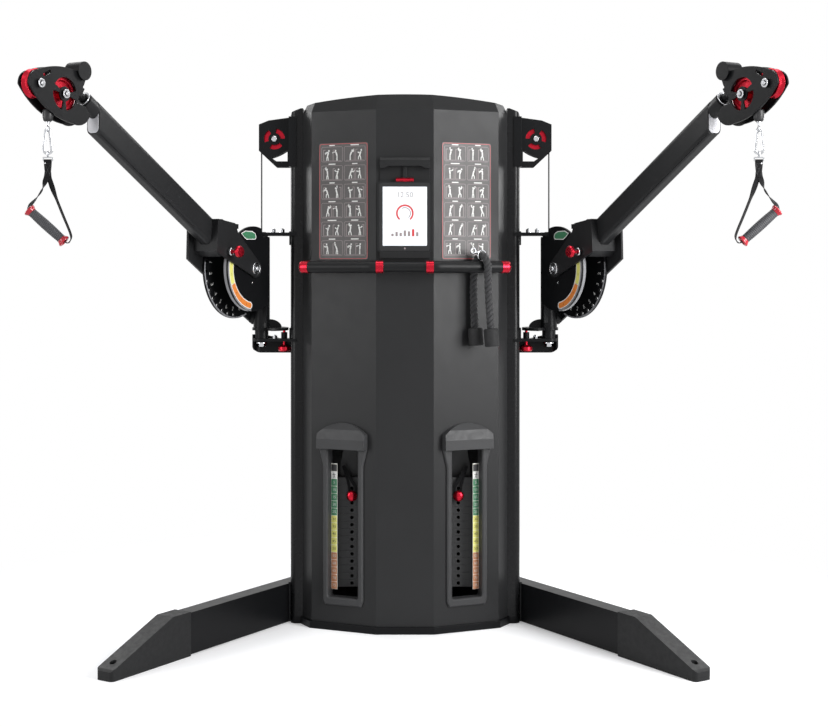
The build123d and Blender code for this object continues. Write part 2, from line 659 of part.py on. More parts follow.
with BuildPart() as swivel_frame:
    with BuildSketch(post_plane.offset(DISC_LOW + DISC_T)):
        Circle(POST_R)
    extrude(amount=POST_TOP - DISC_LOW - DISC_T)
    with BuildSketch(post_plane.offset(POST_TOP)):
        Circle(JOURNAL_R + 7)
    extrude(amount=UPPER_PLATE_Z - POST_TOP - FIT)
    with BuildSketch(post_plane.offset(POST_TOP)):
        Circle(JOURNAL_R)
    extrude(amount=UPPER_PLATE_Z + UPPER_PLATE_T + 2 - POST_TOP)
    with BuildSketch(post_plane.offset(DISC_LOW)):
        with BuildLine():
            rim = CenterArc((0, 0), DISC_R, 95, 147)
            Polyline(rim @ 1, (0, 0), rim @ 0)
        make_face()
        Circle(POST_R + 4)
        with Locations(*[(INDEX_R * math.cos(math.radians(a)), INDEX_R * math.sin(math.radians(a)))
                         for a in index_angles]):
            Circle(PLUNGER_R + PLUNGER_CLEAR, mode=Mode.SUBTRACT)
    extrude(amount=DISC_T)
    with BuildSketch(post_plane.offset(LOWER_PLATE_Z + LOWER_PLATE_T + FIT)):
        Circle(JOURNAL_R + 9)
    extrude(amount=DISC_LOW - LOWER_PLATE_Z - LOWER_PLATE_T - FIT)
    with BuildSketch(post_plane.offset(LOWER_PLATE_Z - 4)):
        Circle(JOURNAL_R)
    extrude(amount=LOWER_PLATE_T + 4 + FIT)
    rib_plane = Plane(origin=swivel_axis, x_dir=(-1, 0, 0), z_dir=(0, 1, 0))
    with BuildSketch(rib_plane.offset(-4)):
        with Locations((POST_R - 2, DISC_LOW + DISC_T - 1)):
            Ellipse(INDEX_R - PLUNGER_R - POST_R - 2, 30)
        with Locations((0, DISC_LOW - 100 + DISC_T)):
            Rectangle(400, 200, mode=Mode.SUBTRACT)
        with Locations((-100, DISC_LOW)):
            Rectangle(200 + POST_R, 400, mode=Mode.SUBTRACT)
    extrude(amount=8)
    with BuildSketch(swing_plane.offset(FRONT_IN)):
        draw_swivel_plate(FRONT_PLATE_R)
        Circle(BOLT_R, mode=Mode.SUBTRACT)
    extrude(amount=SWIVEL_PLATE_T)
    with BuildSketch(swing_plane.offset(-SECTOR_IN)):
        draw_swivel_plate(SECTOR_R)
        with Locations((0, PLATE_TOP + 100)):
            Rectangle(600, 200, mode=Mode.SUBTRACT)
        with BuildLine():
            Polyline((edge, -100), (-51, -165), (edge - 14, -197), (edge - 14, -130), close=True)
        make_face()
        with Locations(*[(LOCK_R * math.cos(math.radians(a)), LOCK_R * math.sin(math.radians(a)))
                         for a in lock_angles]):
            Circle(LOCK_PIN_R + PLUNGER_CLEAR, mode=Mode.SUBTRACT)
        Circle(BOLT_R, mode=Mode.SUBTRACT)
    extrude(amount=-SWIVEL_PLATE_T)
    with BuildSketch(Plane(origin=swivel_axis + up_dir * (PIVOT_Z - 190), x_dir=out_dir, z_dir=up_dir)):
        with Locations((WEB_OUT + 5, (SECTOR_IN - FRONT_IN) / 2)):
            Rectangle(10, FRONT_IN + SECTOR_IN + 2)
    extrude(amount=190 + PLATE_TOP)
    with BuildSketch(swing_plane.offset(-SECTOR_IN)):
        Circle(BOLT_R + 10)
        Circle(BOLT_R, mode=Mode.SUBTRACT)
    extrude(amount=FRONT_IN + SECTOR_IN)
    with BuildSketch(post_plane.offset(POST_TOP - 30)):
        Circle(2 * CABLE_R + 1)
    extrude(amount=80, mode=Mode.SUBTRACT)
save_pair(swivel_frame.part, "swivel_frame")

# Arm pivot bolt across the plates, and the washer and nut under the post.
CHEEK_T = 8.0
CHEEK_GAP = 1.5
front_cheek_in = FRONT_IN + SWIVEL_PLATE_T + CHEEK_GAP
rear_cheek_in = SECTOR_IN + SWIVEL_PLATE_T + CHEEK_GAP
with BuildPart() as pivot_bolt:
    with BuildSketch(swing_plane.offset(-rear_cheek_in - CHEEK_T - FIT)):
        Circle(BOLT_R)
    extrude(amount=rear_cheek_in + front_cheek_in + 2 * CHEEK_T + 2 * FIT)
    with BuildSketch(swing_plane.offset(front_cheek_in + CHEEK_T + FIT)):
        Circle(17)
    extrude(amount=2)
    with BuildSketch(swing_plane.offset(front_cheek_in + CHEEK_T + FIT + 2)):
        RegularPolygon(11, 6)
    extrude(amount=6)
    with BuildSketch(swing_plane.offset(-rear_cheek_in - CHEEK_T - FIT)):
        RegularPolygon(18, 6)
    extrude(amount=-8)
with BuildPart() as post_nut:
    with BuildSketch(post_plane.offset(LOWER_PLATE_Z - 4)):
        Circle(JOURNAL_R + 5)
    extrude(amount=-3)
    with BuildSketch(post_plane.offset(LOWER_PLATE_Z - 7)):
        RegularPolygon(JOURNAL_R, 6)
    extrude(amount=-12)
save_pair(group(pivot_bolt.part, post_nut.part), "pivot_bolt")

# ---- arm --------------------------------------------------------------------
TUBE_D = 86.0
TUBE_W = 50.0
TUBE_WALL = 4.0
TUBE_START = 205.0
BORE_START = TUBE_START + 120.0
COLLAR_END = ARM_REACH - 95.0
COLLAR_R = 25.0
COLLAR_LEN = 75.0
NECK_R = 18.0
cut_run = TUBE_D * math.tan(math.radians(RAISE))
tube_top_end = COLLAR_END - 32

with BuildPart() as arm_tube:
    with BuildSketch(arm_plane.offset(-TUBE_W / 2)):
        with BuildLine():
            Polyline((TUBE_START, -TUBE_D / 2), (tube_top_end - cut_run, -TUBE_D / 2),
                     (tube_top_end, TUBE_D / 2), (TUBE_START, TUBE_D / 2), close=True)
        make_face()
    extrude(amount=TUBE_W)
    fillet(arm_tube.edges().filter_by(Axis(pivot_point, arm_dir)), 15)
    with BuildSketch(arm_plane.offset(-TUBE_W / 2 + TUBE_WALL)):
        with BuildLine():
            half_bore = TUBE_D / 2 - TUBE_WALL
            bore_end = tube_top_end - 2 * TUBE_WALL
            Polyline((BORE_START, -half_bore), (bore_end - cut_run, -half_bore), (bore_end, half_bore),
                     (BORE_START, half_bore), close=True)
        make_face()
    extrude(amount=TUBE_W - 2 * TUBE_WALL, mode=Mode.SUBTRACT)
    collar_end_plane = Plane(origin=pivot_point + arm_dir * COLLAR_END + arm_plane.y_dir * CABLE_RISE,
                             x_dir=face_dir, z_dir=arm_dir)
    with BuildSketch(collar_end_plane):
        Circle(COLLAR_R)
    extrude(amount=-COLLAR_LEN)
    with BuildSketch(collar_end_plane):
        Circle(NECK_R + RUN)
    extrude(amount=-COLLAR_LEN + 8, mode=Mode.SUBTRACT)
    # boot between the cheeks
    with BuildSketch(arm_plane.offset(-rear_cheek_in)):
        with BuildLine():
            Polyline((182, -62), (219, -62), (267, 34), (240, 50), (182, 62), close=True)
        make_face()
    extrude(amount=rear_cheek_in + front_cheek_in)
    with BuildSketch(arm_plane.offset(front_cheek_in)):
        with BuildLine():
            Polyline((0, 30), (150, 52), (182, 71), (267, 34), (219, -64), (163, -56), (0, -30), close=True)
        make_face()
        Circle(30)
        Circle(BOLT_R + RUN, mode=Mode.SUBTRACT)
        pin_spot = (LOCK_R * math.cos(math.radians(LOCK_LEAD)), -LOCK_R * math.sin(math.radians(LOCK_LEAD)))
        with Locations(pin_spot):
            Circle(LOCK_PIN_R + RUN, mode=Mode.SUBTRACT)
    extrude(amount=CHEEK_T)
    with BuildSketch(arm_plane.offset(-rear_cheek_in)):
        with BuildLine():
            Polyline((0, 45), (180, 60), (278, 45), (278, -14), (230, -100), (-20, -100), (-44, -40),
                     close=True)
        make_face()
        Circle(45)
        Circle(BOLT_R + RUN, mode=Mode.SUBTRACT)
    extrude(amount=-CHEEK_T)
    with BuildSketch(arm_plane.offset(front_cheek_in + CHEEK_T)):
        with Locations(pin_spot):
            Circle(LOCK_PIN_R + 6)
            Circle(LOCK_PIN_R + RUN, mode=Mode.SUBTRACT)
    extrude(amount=12)
    with BuildSketch(arm_plane.offset(front_cheek_in - 24)):
        with Locations(Location((168, 68), -28)):
            Rectangle(38, 16)
    extrude(amount=24)
save_pair(arm_tube.part, "arm_tube")

# Lock pin of the arm: plunger, drawn clear of the sector, and its red knob.
BARREL_TOP = front_cheek_in + CHEEK_T + 12
with BuildPart() as lift_pin:
    pin_plane = Plane(origin=arm_plane.from_local_coords((pin_spot[0], pin_spot[1], 0)),
                      x_dir=arm_dir, z_dir=face_dir)
    with BuildSketch(pin_plane.offset(-SECTOR_IN + FIT)):
        Circle(LOCK_PIN_R)
    extrude(amount=SECTOR_IN - FIT + BARREL_TOP + 14)
    knob_profile = Plane(origin=pin_plane.origin, x_dir=pin_plane.x_dir, z_dir=-pin_plane.y_dir)
    with BuildSketch(knob_profile):
        with BuildLine():
            Polyline((0, BARREL_TOP + 14), (9, BARREL_TOP + 14), (11, BARREL_TOP + 18), (20, BARREL_TOP + 24),
                     (20, BARREL_TOP + 31), (17, BARREL_TOP + 35), (0, BARREL_TOP + 36), close=True)
        make_face()
    revolve(axis=Axis(pin_plane.origin, pin_plane.z_dir))
save_pair(lift_pin.part, "lift_pin")

# Index pin of the swivel: plunger up through the lower plate, knob below.
with BuildPart() as swivel_pin:
    index_plane = Plane(origin=swivel_axis - Vector(INDEX_R, 0, 0), x_dir=(1, 0, 0), z_dir=(0, 0, 1))
    with BuildSketch(index_plane.offset(LOWER_PLATE_Z - 12)):
        Circle(PLUNGER_R)
    extrude(amount=DISC_LOW - FIT - LOWER_PLATE_Z + 12)
    index_profile = Plane(origin=index_plane.origin, x_dir=(1, 0, 0), z_dir=(0, -1, 0))
    with BuildSketch(index_profile):
        with BuildLine():
            Polyline((0, LOWER_PLATE_Z - 12), (10, LOWER_PLATE_Z - 12), (12, LOWER_PLATE_Z - 15),
                     (22, LOWER_PLATE_Z - 20), (22, LOWER_PLATE_Z - 31), (18, LOWER_PLATE_Z - 35),
                     (0, LOWER_PLATE_Z - 36), close=True)
        make_face()
    revolve(axis=Axis(index_plane.origin, (0, 0, 1)))
save_pair(swivel_pin.part, "swivel_pin")

# ---- pulley head ------------------------------------------------------------
HEAD_GAP = 34.0
HEAD_PLATE_T = 5.0
GUIDE_P = 101.0
GUIDE_Q = 21.0
HEAD_AXLE_R = 8.0
head_half = HEAD_GAP / 2


def draw_head_plate():
    """Outline and windows of one side plate of the pulley head."""
    with BuildLine() as rim:
        top = ThreePointArc((-57, 71), (30, 78), (112, 59))
        nose = ThreePointArc(top @ 1, (140, 41), (147, 17))
        belly = ThreePointArc(nose @ 1, (72, -50), (-36, -84))
        heel = ThreePointArc(belly @ 1, (-84, -80), (-107, -54))
        Polyline(heel @ 1, (-88, -30), (-54, -22), (-60, 8), (-80, 34), (-92, 62), top @ 0)
    make_face(rim.edges())
    with Locations((-76, 76)):
        Circle(28)
    for start, sweep in ((32, 133), (-75, 83), (197, 66)):
        draw_arc_slot((0, 0), 22, 49, start, sweep)
    with Locations(Location((73, 53), -28)):
        SlotOverall(34, 10, mode=Mode.SUBTRACT)


with BuildPart() as head_frame:
    for level in (head_half, -head_half - HEAD_PLATE_T):
        with BuildSketch(head_plane.offset(level)):
            draw_head_plate()
        extrude(amount=HEAD_PLATE_T)
    with BuildSketch(head_plane.offset(-head_half - 9)):
        with Locations((-76, 76)):
            Circle(28)
    extrude(amount=HEAD_GAP + 22)
    with BuildSketch(head_plane.offset(-head_half)):
        with Locations((0, 0), (GUIDE_P, GUIDE_Q)):
            Circle(HEAD_AXLE_R)
    extrude(amount=HEAD_GAP)
    for side in (1, -1):
        with BuildSketch(head_plane.offset(side * (head_half + HEAD_PLATE_T))):
            with Locations((0, 0), (GUIDE_P, GUIDE_Q)):
                Circle(BOLT_HEAD_R)
        extrude(amount=side * BOLT_HEAD_H)
    tilted_head = Plane(origin=head_point, x_dir=arm_dir, z_dir=face_dir)
    with BuildSketch(tilted_head.offset(-head_half)):
        with Locations((-55, MAIN_PITCH + 3)):
            Rectangle(17, 30)
    extrude(amount=HEAD_GAP)
    with BuildSketch(collar_end_plane.offset(FIT)):
        Circle(NECK_R + 5)
    extrude(amount=6)
    with BuildSketch(collar_end_plane.offset(FIT)):
        Circle(NECK_R)
    extrude(amount=-COLLAR_LEN + 12)
    with BuildSketch(collar_end_plane.offset(FIT + 6)):
        Circle(13)
    extrude(amount=30)
    with BuildSketch(collar_end_plane.offset(60)):
        Circle(2 * CABLE_R)
    extrude(amount=-140, mode=Mode.SUBTRACT)
save_pair(head_frame.part, "head_frame")
save_pair(make_pulley(head_plane, MAIN_RIM, MAIN_GROOVE, HEAD_AXLE_R + RUN, HEAD_GAP - 1), "main_pulley")
guide_plane = Plane(origin=head_plane.from_local_coords((GUIDE_P, GUIDE_Q, 0)), x_dir=out_dir, z_dir=face_dir)
save_pair(make_pulley(guide_plane, GUIDE_RIM, GUIDE_GROOVE, HEAD_AXLE_R + RUN, HEAD_GAP - 1), "guide_pulley")

# ---- cable end, stop, hook and handle ---------------------------------------
STOP_TOP = -47.0
LEAD_LEN = 5.0
STOP_LOW = -85.0
STOP_R = 16.0
hang_point = head_plane.from_local_coords((MAIN_PITCH, 0, 0))
hang_plane = Plane(origin=hang_point, x_dir=(1, 0, 0), z_dir=(0, -1, 0))

# Cable out of the collar, over the main pulley and down to the stop.
slope = (math.cos(math.radians(RAISE)), math.sin(math.radians(RAISE)))
meet = (-MAIN_PITCH * slope[1], MAIN_PITCH * slope[0])
IN_COLLAR = 145.0
cable_start = (meet[0] - IN_COLLAR * slope[0], meet[1] - IN_COLLAR * slope[1])
with BuildPart() as head_cable:
    with BuildLine(head_plane):
        Line(cable_start, meet)
        CenterArc((0, 0), MAIN_PITCH, 90 + RAISE, -90 - RAISE)
        Line((MAIN_PITCH, 0), (MAIN_PITCH, STOP_TOP + LEAD_LEN + 2 * FIT + 0.2))
    with BuildSketch(Plane(origin=head_plane.from_local_coords((*cable_start, 0)), z_dir=arm_dir)):
        Circle(CABLE_R - FIT)
    sweep()
save_pair(head_cable.part, "head_cable")

with BuildPart() as cable_lead:
    with BuildSketch(Plane(origin=hang_point + up_dir * (STOP_TOP + FIT), z_dir=(0, 0, 1))):
        Circle(4)
    extrude(amount=LEAD_LEN)
save_pair(cable_lead.part, "cable_lead")

with BuildPart() as cable_stop:
    with BuildSketch(hang_plane):
        with BuildLine():
            Polyline((0, STOP_TOP), (STOP_R - 5, STOP_TOP), (STOP_R, STOP_TOP - 6),
                     (STOP_R - 4, STOP_LOW + 3),
                     (STOP_R - 7, STOP_LOW), (0, STOP_LOW), close=True)
        make_face()
    revolve(axis=Axis(hang_point, (0, 0, 1)))
save_pair(cable_stop.part, "cable_stop")

EYE_R = 8.0
EYE_WIRE = 3.0
HOOK_WIRE = 4.0
HOOK_TOP = STOP_LOW - 20.7
HOOK_LEN = 72.0
hook_low = HOOK_TOP - HOOK_LEN
LINK_R = 8.0                 # eye of the strap ring, round the hook's lower bend
LINK_WIRE = 2.0
RING_W = 30.0
RING_H = 13.0
RING_BAR = 3.5
RING_T = 5.0
link_mid = hook_low - 1.2
ring_mid = link_mid - LINK_R - 0.5 - RING_H / 2
with BuildPart() as hook_swivel:
    with BuildSketch(Plane(origin=hang_point + up_dir * STOP_LOW, z_dir=(0, 0, 1))):
        Circle(4.5)
    extrude(amount=-10)
    eye_plane = Plane(origin=hang_point + up_dir * (STOP_LOW - 20), x_dir=(0, 1, 0), z_dir=(0, 0, 1))
    with BuildSketch(eye_plane):
        with Locations((EYE_R, 0)):
            Circle(EYE_WIRE)
    revolve(axis=Axis(eye_plane.origin, (1, 0, 0)))
with BuildPart() as hook_body:
    with BuildSketch(hang_plane.offset(-HOOK_WIRE)):
        with Locations((0, HOOK_TOP - 6)):
            Circle(6 + HOOK_WIRE)
        with Locations((0, hook_low + 12)):
            Circle(12 + HOOK_WIRE)
        make_hull()
    extrude(amount=2 * HOOK_WIRE)
    with BuildSketch(hang_plane.offset(-HOOK_WIRE)):
        with Locations((0, HOOK_TOP - 6)):
            Circle(6 - HOOK_WIRE)
        with Locations((0, hook_low + 12)):
            Circle(12 - HOOK_WIRE)
        make_hull()
    extrude(amount=2 * HOOK_WIRE, mode=Mode.SUBTRACT)
    chamfer(hook_body.faces().filter_by(Axis.Y).edges(), 1.6)
with BuildPart() as strap_ring:
    link_plane = Plane(origin=hang_point + up_dir * link_mid, x_dir=(0, 1, 0), z_dir=(0, 0, 1))
    with BuildSketch(link_plane):
        with Locations((LINK_R, 0)):
            Circle(LINK_WIRE)
    revolve(axis=Axis(link_plane.origin, (1, 0, 0)))
    with BuildSketch(hang_plane.offset(-RING_T / 2)):
        with Locations((0, ring_mid)):
            RectangleRounded(RING_W, RING_H, 3)
            RectangleRounded(RING_W - 2 * RING_BAR, RING_H - 2 * RING_BAR, 1.4, mode=Mode.SUBTRACT)
    extrude(amount=RING_T)
save_pair(group(hook_swivel.part, hook_body.part, strap_ring.part), "carabiner")

GRIP_TILT = 42.0
GRIP_LEN = 120.0
GRIP_R = 15.0
CAP_R = 18.5
CAP_LEN = 11.0
GRIP_SHIFT = 3.0
GRIP_DROP = STOP_LOW - 303.0
STRAP_W = 22.0
STRAP_T = 2.5
grip_point = hang_plane.from_local_coords((GRIP_SHIFT, GRIP_DROP, 0))
grip_dir = Vector(1, 0, 0).rotate(Axis.Y, -GRIP_TILT)
grip_plane = Plane(origin=grip_point - grip_dir * (GRIP_LEN / 2 + CAP_LEN), x_dir=(0, -1, 0), z_dir=grip_dir)
with BuildPart() as handle_grip:
    with BuildSketch(grip_plane):
        Circle(CAP_R)
    extrude(amount=CAP_LEN)
    with BuildSketch(grip_plane.offset(CAP_LEN)):
        Circle(GRIP_R)
    extrude(amount=GRIP_LEN)
    with BuildSketch(grip_plane.offset(CAP_LEN + GRIP_LEN)):
        Circle(CAP_R)
    extrude(amount=CAP_LEN)
    with BuildSketch(grip_plane):
        Rectangle(STRAP_W + 1, STRAP_T + 1)
    extrude(amount=GRIP_LEN + 2 * CAP_LEN, mode=Mode.SUBTRACT)
save_pair(handle_grip.part, "handle_grip")

STRAP_CLEAR = 4.0
reach = GRIP_LEN / 2 + CAP_LEN + STRAP_CLEAR
reach_x = reach * math.cos(math.radians(GRIP_TILT))
reach_z = reach * math.sin(math.radians(GRIP_TILT))
round_cap = CAP_R + STRAP_CLEAR
lean = (math.sin(math.radians(GRIP_TILT)), math.cos(math.radians(GRIP_TILT)))
TAB_LEN = 46.0               # sewn double part under the ring
bar_low = ring_mid - RING_H / 2
bar_top = bar_low + RING_BAR
tab_low = bar_low - TAB_LEN
wrap_half = RING_T / 2 + FIT + STRAP_T
upper_corner = (GRIP_SHIFT + reach_x, GRIP_DROP + reach_z)
lower_corner = (GRIP_SHIFT - reach_x, GRIP_DROP - reach_z)
strap_loop = [
    (-5, tab_low + 4),
    (5, tab_low + 4),
    (16, tab_low - 40),
    (upper_corner[0] - 17, upper_corner[1] + 17),
    upper_corner,
    lower_corner,
    (lower_corner[0] - round_cap * lean[0], lower_corner[1] + round_cap * lean[1]),
    (-30, tab_low - 78),
]
with BuildPart() as handle_strap:
    with BuildSketch(Plane(origin=hang_point, x_dir=(0, 1, 0), z_dir=(1, 0, 0))):
        with BuildLine():
            Polyline((STRAP_T, tab_low), (STRAP_T, bar_low - 6), (wrap_half, bar_low - FIT),
                     (wrap_half, bar_top), (STRAP_T, bar_top + FIT + STRAP_T), (-STRAP_T, bar_top + FIT + STRAP_T),
                     (-wrap_half, bar_top), (-wrap_half, bar_low - FIT), (-STRAP_T, bar_low - 6),
                     (-STRAP_T, tab_low), close=True)
        make_face()
        with Locations((0, bar_low + RING_BAR / 2)):
            Rectangle(RING_T + 2 * FIT, RING_BAR + 2 * FIT, mode=Mode.SUBTRACT)
    extrude(amount=STRAP_W / 2, both=True)
    with BuildSketch(hang_plane.offset(-STRAP_W / 2)):
        with BuildLine():
            FilletPolyline(*strap_loop, radius=3, close=True)
            offset(amount=STRAP_T / 2)
        make_face()
        with BuildLine():
            FilletPolyline(*strap_loop, radius=3, close=True)
            offset(amount=-STRAP_T / 2)
        make_face(mode=Mode.SUBTRACT)
    extrude(amount=STRAP_W)
save_pair(handle_strap.part, "handle_strap")

# ---- legs -------------------------------------------------------------------
leg_root = Vector(COLUMN_X, 0, 0)
leg_dir = (Vector(LEG_TIP_X, LEG_TIP_Y, 0) - leg_root).normalized()
LEG_LEN = (Vector(LEG_TIP_X, LEG_TIP_Y, 0) - leg_root).length
leg_side = Plane(origin=leg_root, x_dir=leg_dir, z_dir=leg_dir.cross(up_dir))
SOLE = 4.0
COVER_T = 4.0
COVER_START = LEG_SEAM


def leg_slope(along):
    """Height of the leg's top line beyond the kink."""
    share = (along - LEG_KINK) / (LEG_LEN - LEG_KINK)
    return LEG_H + (TIP_H - LEG_H) * max(share, 0)


with BuildPart() as leg:
    with BuildSketch(leg_side.offset(-LEG_W / 2)):
        with BuildLine():
            Polyline((-60, SOLE), (LEG_LEN - 70, SOLE), (LEG_LEN - 70, leg_slope(LEG_LEN - 70) - COVER_T),
                     (LEG_KINK, LEG_H - COVER_T), (COVER_START, LEG_H - COVER_T), (COVER_START, LEG_H),
                     (-60, LEG_H), close=True)
        make_face()
    extrude(amount=LEG_W)
    with BuildSketch(Plane.XY):
        with Locations((COLUMN_X - 300, 0)):
            Rectangle(600, 800)
    extrude(amount=LEG_H + 10, mode=Mode.SUBTRACT)
    mount = Plane(origin=(COLUMN_X, 0, 0), x_dir=(0, 1, 0), z_dir=(1, 0, 0))
    with BuildSketch(mount):
        with Locations((-16, LEG_H / 2 + SOLE)):
            Rectangle(96, LEG_H)
    extrude(amount=7)
save(both(leg.part), "legs")

with BuildPart() as foot_cover:
    with BuildSketch(leg_side.offset(-LEG_W / 2 - COVER_T)):
        with BuildLine():
            Polyline((COVER_START, 0), (LEG_LEN, 0), (LEG_LEN, TIP_H - 6), (LEG_LEN - 8, TIP_H + 1),
                     (LEG_KINK, LEG_H + COVER_T), (COVER_START, LEG_H + COVER_T), close=True)
        make_face()
    extrude(amount=LEG_W + 2 * COVER_T)
    fillet(foot_cover.edges().filter_by(Axis.Z).sort_by(Axis.Y)[:2], 14)
    with BuildSketch(leg_side.offset(-LEG_W / 2 - FIT)):
        with BuildLine():
            Polyline((COVER_START - 9, SOLE - FIT), (LEG_LEN - 70 + FIT, SOLE - FIT),
                     (LEG_LEN - 70 + FIT, leg_slope(LEG_LEN - 70) - COVER_T + FIT),
                     (LEG_KINK, LEG_H - COVER_T + FIT), (COVER_START - 9, LEG_H - COVER_T + FIT), close=True)
        make_face()
    extrude(amount=LEG_W + 2 * FIT, mode=Mode.SUBTRACT)
    anchor = leg_root + leg_dir * (LEG_LEN - ANCHOR_FROM_TIP)
    with BuildSketch(Plane(origin=anchor, z_dir=(0, 0, 1))):
        Circle(ANCHOR_R)
    extrude(amount=LEG_H, mode=Mode.SUBTRACT)
    with BuildSketch(Plane(origin=anchor + up_dir * 22, z_dir=(0, 0, 1))):
        Circle(11)
    extrude(amount=LEG_H, mode=Mode.SUBTRACT)
save(both(foot_cover.part), "foot_covers")
print("foot anchors at", round(anchor.X, 3), round(anchor.Y, 3))

with BuildPart() as leg_bolts:
    flank = leg_side.offset(-LEG_W / 2)
    with BuildSketch(flank):
        with Locations((80, 44), (80, 98), (128, 44), (128, 98)):
            Circle(12)
    extrude(amount=-3)
    with BuildSketch(flank.offset(-3)):
        with Locations((80, 44), (80, 98), (128, 44), (128, 98)):
            RegularPolygon(10, 6)
    extrude(amount=-7)
save(both(group(pulley_axle.part, bracket_bolts.part, leg_bolts.part)), "chrome_bolts")

# ---- accessory bar ----------------------------------------------------------
BEND_X = FACET_HALF + 11
COLLAR_T = 25.0
COLLAR_OUT = 21.5
END_CAP = 33.0
bar_y = -FRONT_Y - BAR_STANDOFF
bar_end = Vector(BAR_END_X, bar_y + (BAR_END_X - BEND_X) * math.tan(math.radians(FACET_ANGLE)), BAR_Z)
bar_start = Vector(COLLAR_X + COLLAR_T / 2, bar_y, BAR_Z)
with BuildPart() as accessory_bar:
    for side in (-1, 1):
        with BuildLine():
            FilletPolyline((side * bar_start.X, bar_y, BAR_Z), (side * BEND_X, bar_y, BAR_Z),
                           (side * bar_end.X, bar_end.Y, BAR_Z), radius=24)
        with BuildSketch(Plane(origin=(side * bar_start.X, bar_y, BAR_Z), z_dir=(side, 0, 0))):
            Circle(BAR_R)
        sweep()
    with BuildSketch(Plane.YZ.offset(-bar_start.X - 2)):
        with Locations((bar_y, BAR_Z)):
            Circle(BAR_MID_R)
    extrude(amount=2 * bar_start.X + 4)
save(accessory_bar.part, "accessory_bar")

with BuildPart() as bar_collars:
    with BuildSketch(Plane.YZ.offset(COLLAR_X - COLLAR_T / 2)):
        with Locations((bar_y, BAR_Z)):
            Circle(COLLAR_OUT)
            Circle(BAR_MID_R, mode=Mode.SUBTRACT)
    extrude(amount=COLLAR_T)
    with BuildSketch(Plane(origin=bar_end, z_dir=along_facet)):
        Circle(COLLAR_OUT)
    extrude(amount=END_CAP)
    ends = bar_collars.edges().filter_by(GeomType.CIRCLE).sort_by(Axis(bar_end, along_facet))
    fillet(ends[-1:], 9)
save(both(bar_collars.part), "bar_collars")

STANDOFF_R = 9.0
FLANGE_R = 13.0
STAND_IN = 23.0
stand_point = bar_end - along_facet * STAND_IN
with BuildPart() as bar_brackets:
    for foot, normal, hold in (
        (Vector(COLLAR_X, -FRONT_Y, BAR_Z), Vector(0, -1, 0), COLLAR_OUT),
        (stand_point - facet_normal * BAR_STANDOFF, facet_normal, BAR_R),
    ):
        with BuildSketch(Plane(origin=foot, z_dir=normal)):
            Circle(FLANGE_R)
        extrude(amount=5)
        with BuildSketch(Plane(origin=foot, z_dir=normal)):
            Circle(STANDOFF_R)
        extrude(amount=BAR_STANDOFF - 0.7 * hold)
        saddle = Plane(origin=foot + normal * BAR_STANDOFF, x_dir=normal, z_dir=normal.cross(up_dir))
        with BuildSketch(saddle.offset(-2 * STANDOFF_R)):
            Circle(hold)
        extrude(amount=4 * STANDOFF_R, mode=Mode.SUBTRACT)
save(both(bar_brackets.part), "bar_brackets")

# ---- tablet rest ------------------------------------------------------------
HOLDER_HALF = 85.0
HOLDER_LOW = BAR_Z + BAR_R + 10.0
SHELF_TOP = HOLDER_LOW + 21.0
TRAY_HALF = 94.0
TRAY_TOP = SHELF_TOP + 238.0
HOLDER_TOP = TRAY_TOP + 82.0
BACK_T = 6.0
TRAY_T = 14.0
TABLET_W = 170.0
TABLET_H = 230.0
TABLET_T = 8.0
RAIL_W = 12.0
RAIL_T = 8.0
tray_mid = (0, (SHELF_TOP + TRAY_TOP) / 2)
back_face = front_plane.offset(BACK_T)
with BuildPart() as tablet_holder:
    with BuildSketch(front_plane):
        with Locations((0, (HOLDER_LOW + HOLDER_TOP - 8) / 2)):
            Rectangle(2 * HOLDER_HALF - 2, HOLDER_TOP - 8 - HOLDER_LOW)
    extrude(amount=BACK_T)
    with BuildSketch(front_plane):
        with BuildLine():
            Polyline((-HOLDER_HALF, HOLDER_TOP - 37), (-72, HOLDER_TOP - 37), (-54, HOLDER_TOP - 29),
                     (54, HOLDER_TOP - 29), (72, HOLDER_TOP - 37), (HOLDER_HALF, HOLDER_TOP - 37),
                     (HOLDER_HALF, HOLDER_TOP), (-HOLDER_HALF, HOLDER_TOP), close=True)
        make_face()
    extrude(amount=32)
    chamfer(tablet_holder.edges().filter_by(Axis.X).group_by(Axis.Z)[-1].sort_by(Axis.Y)[0], 9)
    with BuildSketch(front_plane):
        with Locations((0, (HOLDER_LOW + SHELF_TOP) / 2)):
            Rectangle(2 * HOLDER_HALF, SHELF_TOP - HOLDER_LOW)
    extrude(amount=30)
    with BuildSketch(back_face):
        with Locations((0, (TRAY_TOP + HOLDER_TOP - 29) / 2)):
            Rectangle(RAIL_W, HOLDER_TOP - 29 - TRAY_TOP)
    extrude(amount=RAIL_T)
    with BuildSketch(back_face):
        with Locations(tray_mid):
            RectangleRounded(2 * TRAY_HALF, TRAY_TOP - SHELF_TOP, 10)
    extrude(amount=TRAY_T)
    with BuildSketch(back_face.offset(TRAY_T - TABLET_T)):
        with Locations(tray_mid):
            RectangleRounded(TABLET_W + FIT, TABLET_H + FIT, 8)
    extrude(amount=TABLET_T, mode=Mode.SUBTRACT)
save(tablet_holder.part, "tablet_holder")

with BuildPart() as tablet:
    with BuildSketch(back_face.offset(TRAY_T - TABLET_T)):
        with Locations(tray_mid):
            RectangleRounded(TABLET_W, TABLET_H, 8)
    extrude(amount=TABLET_T)
save(tablet.part, "tablet")

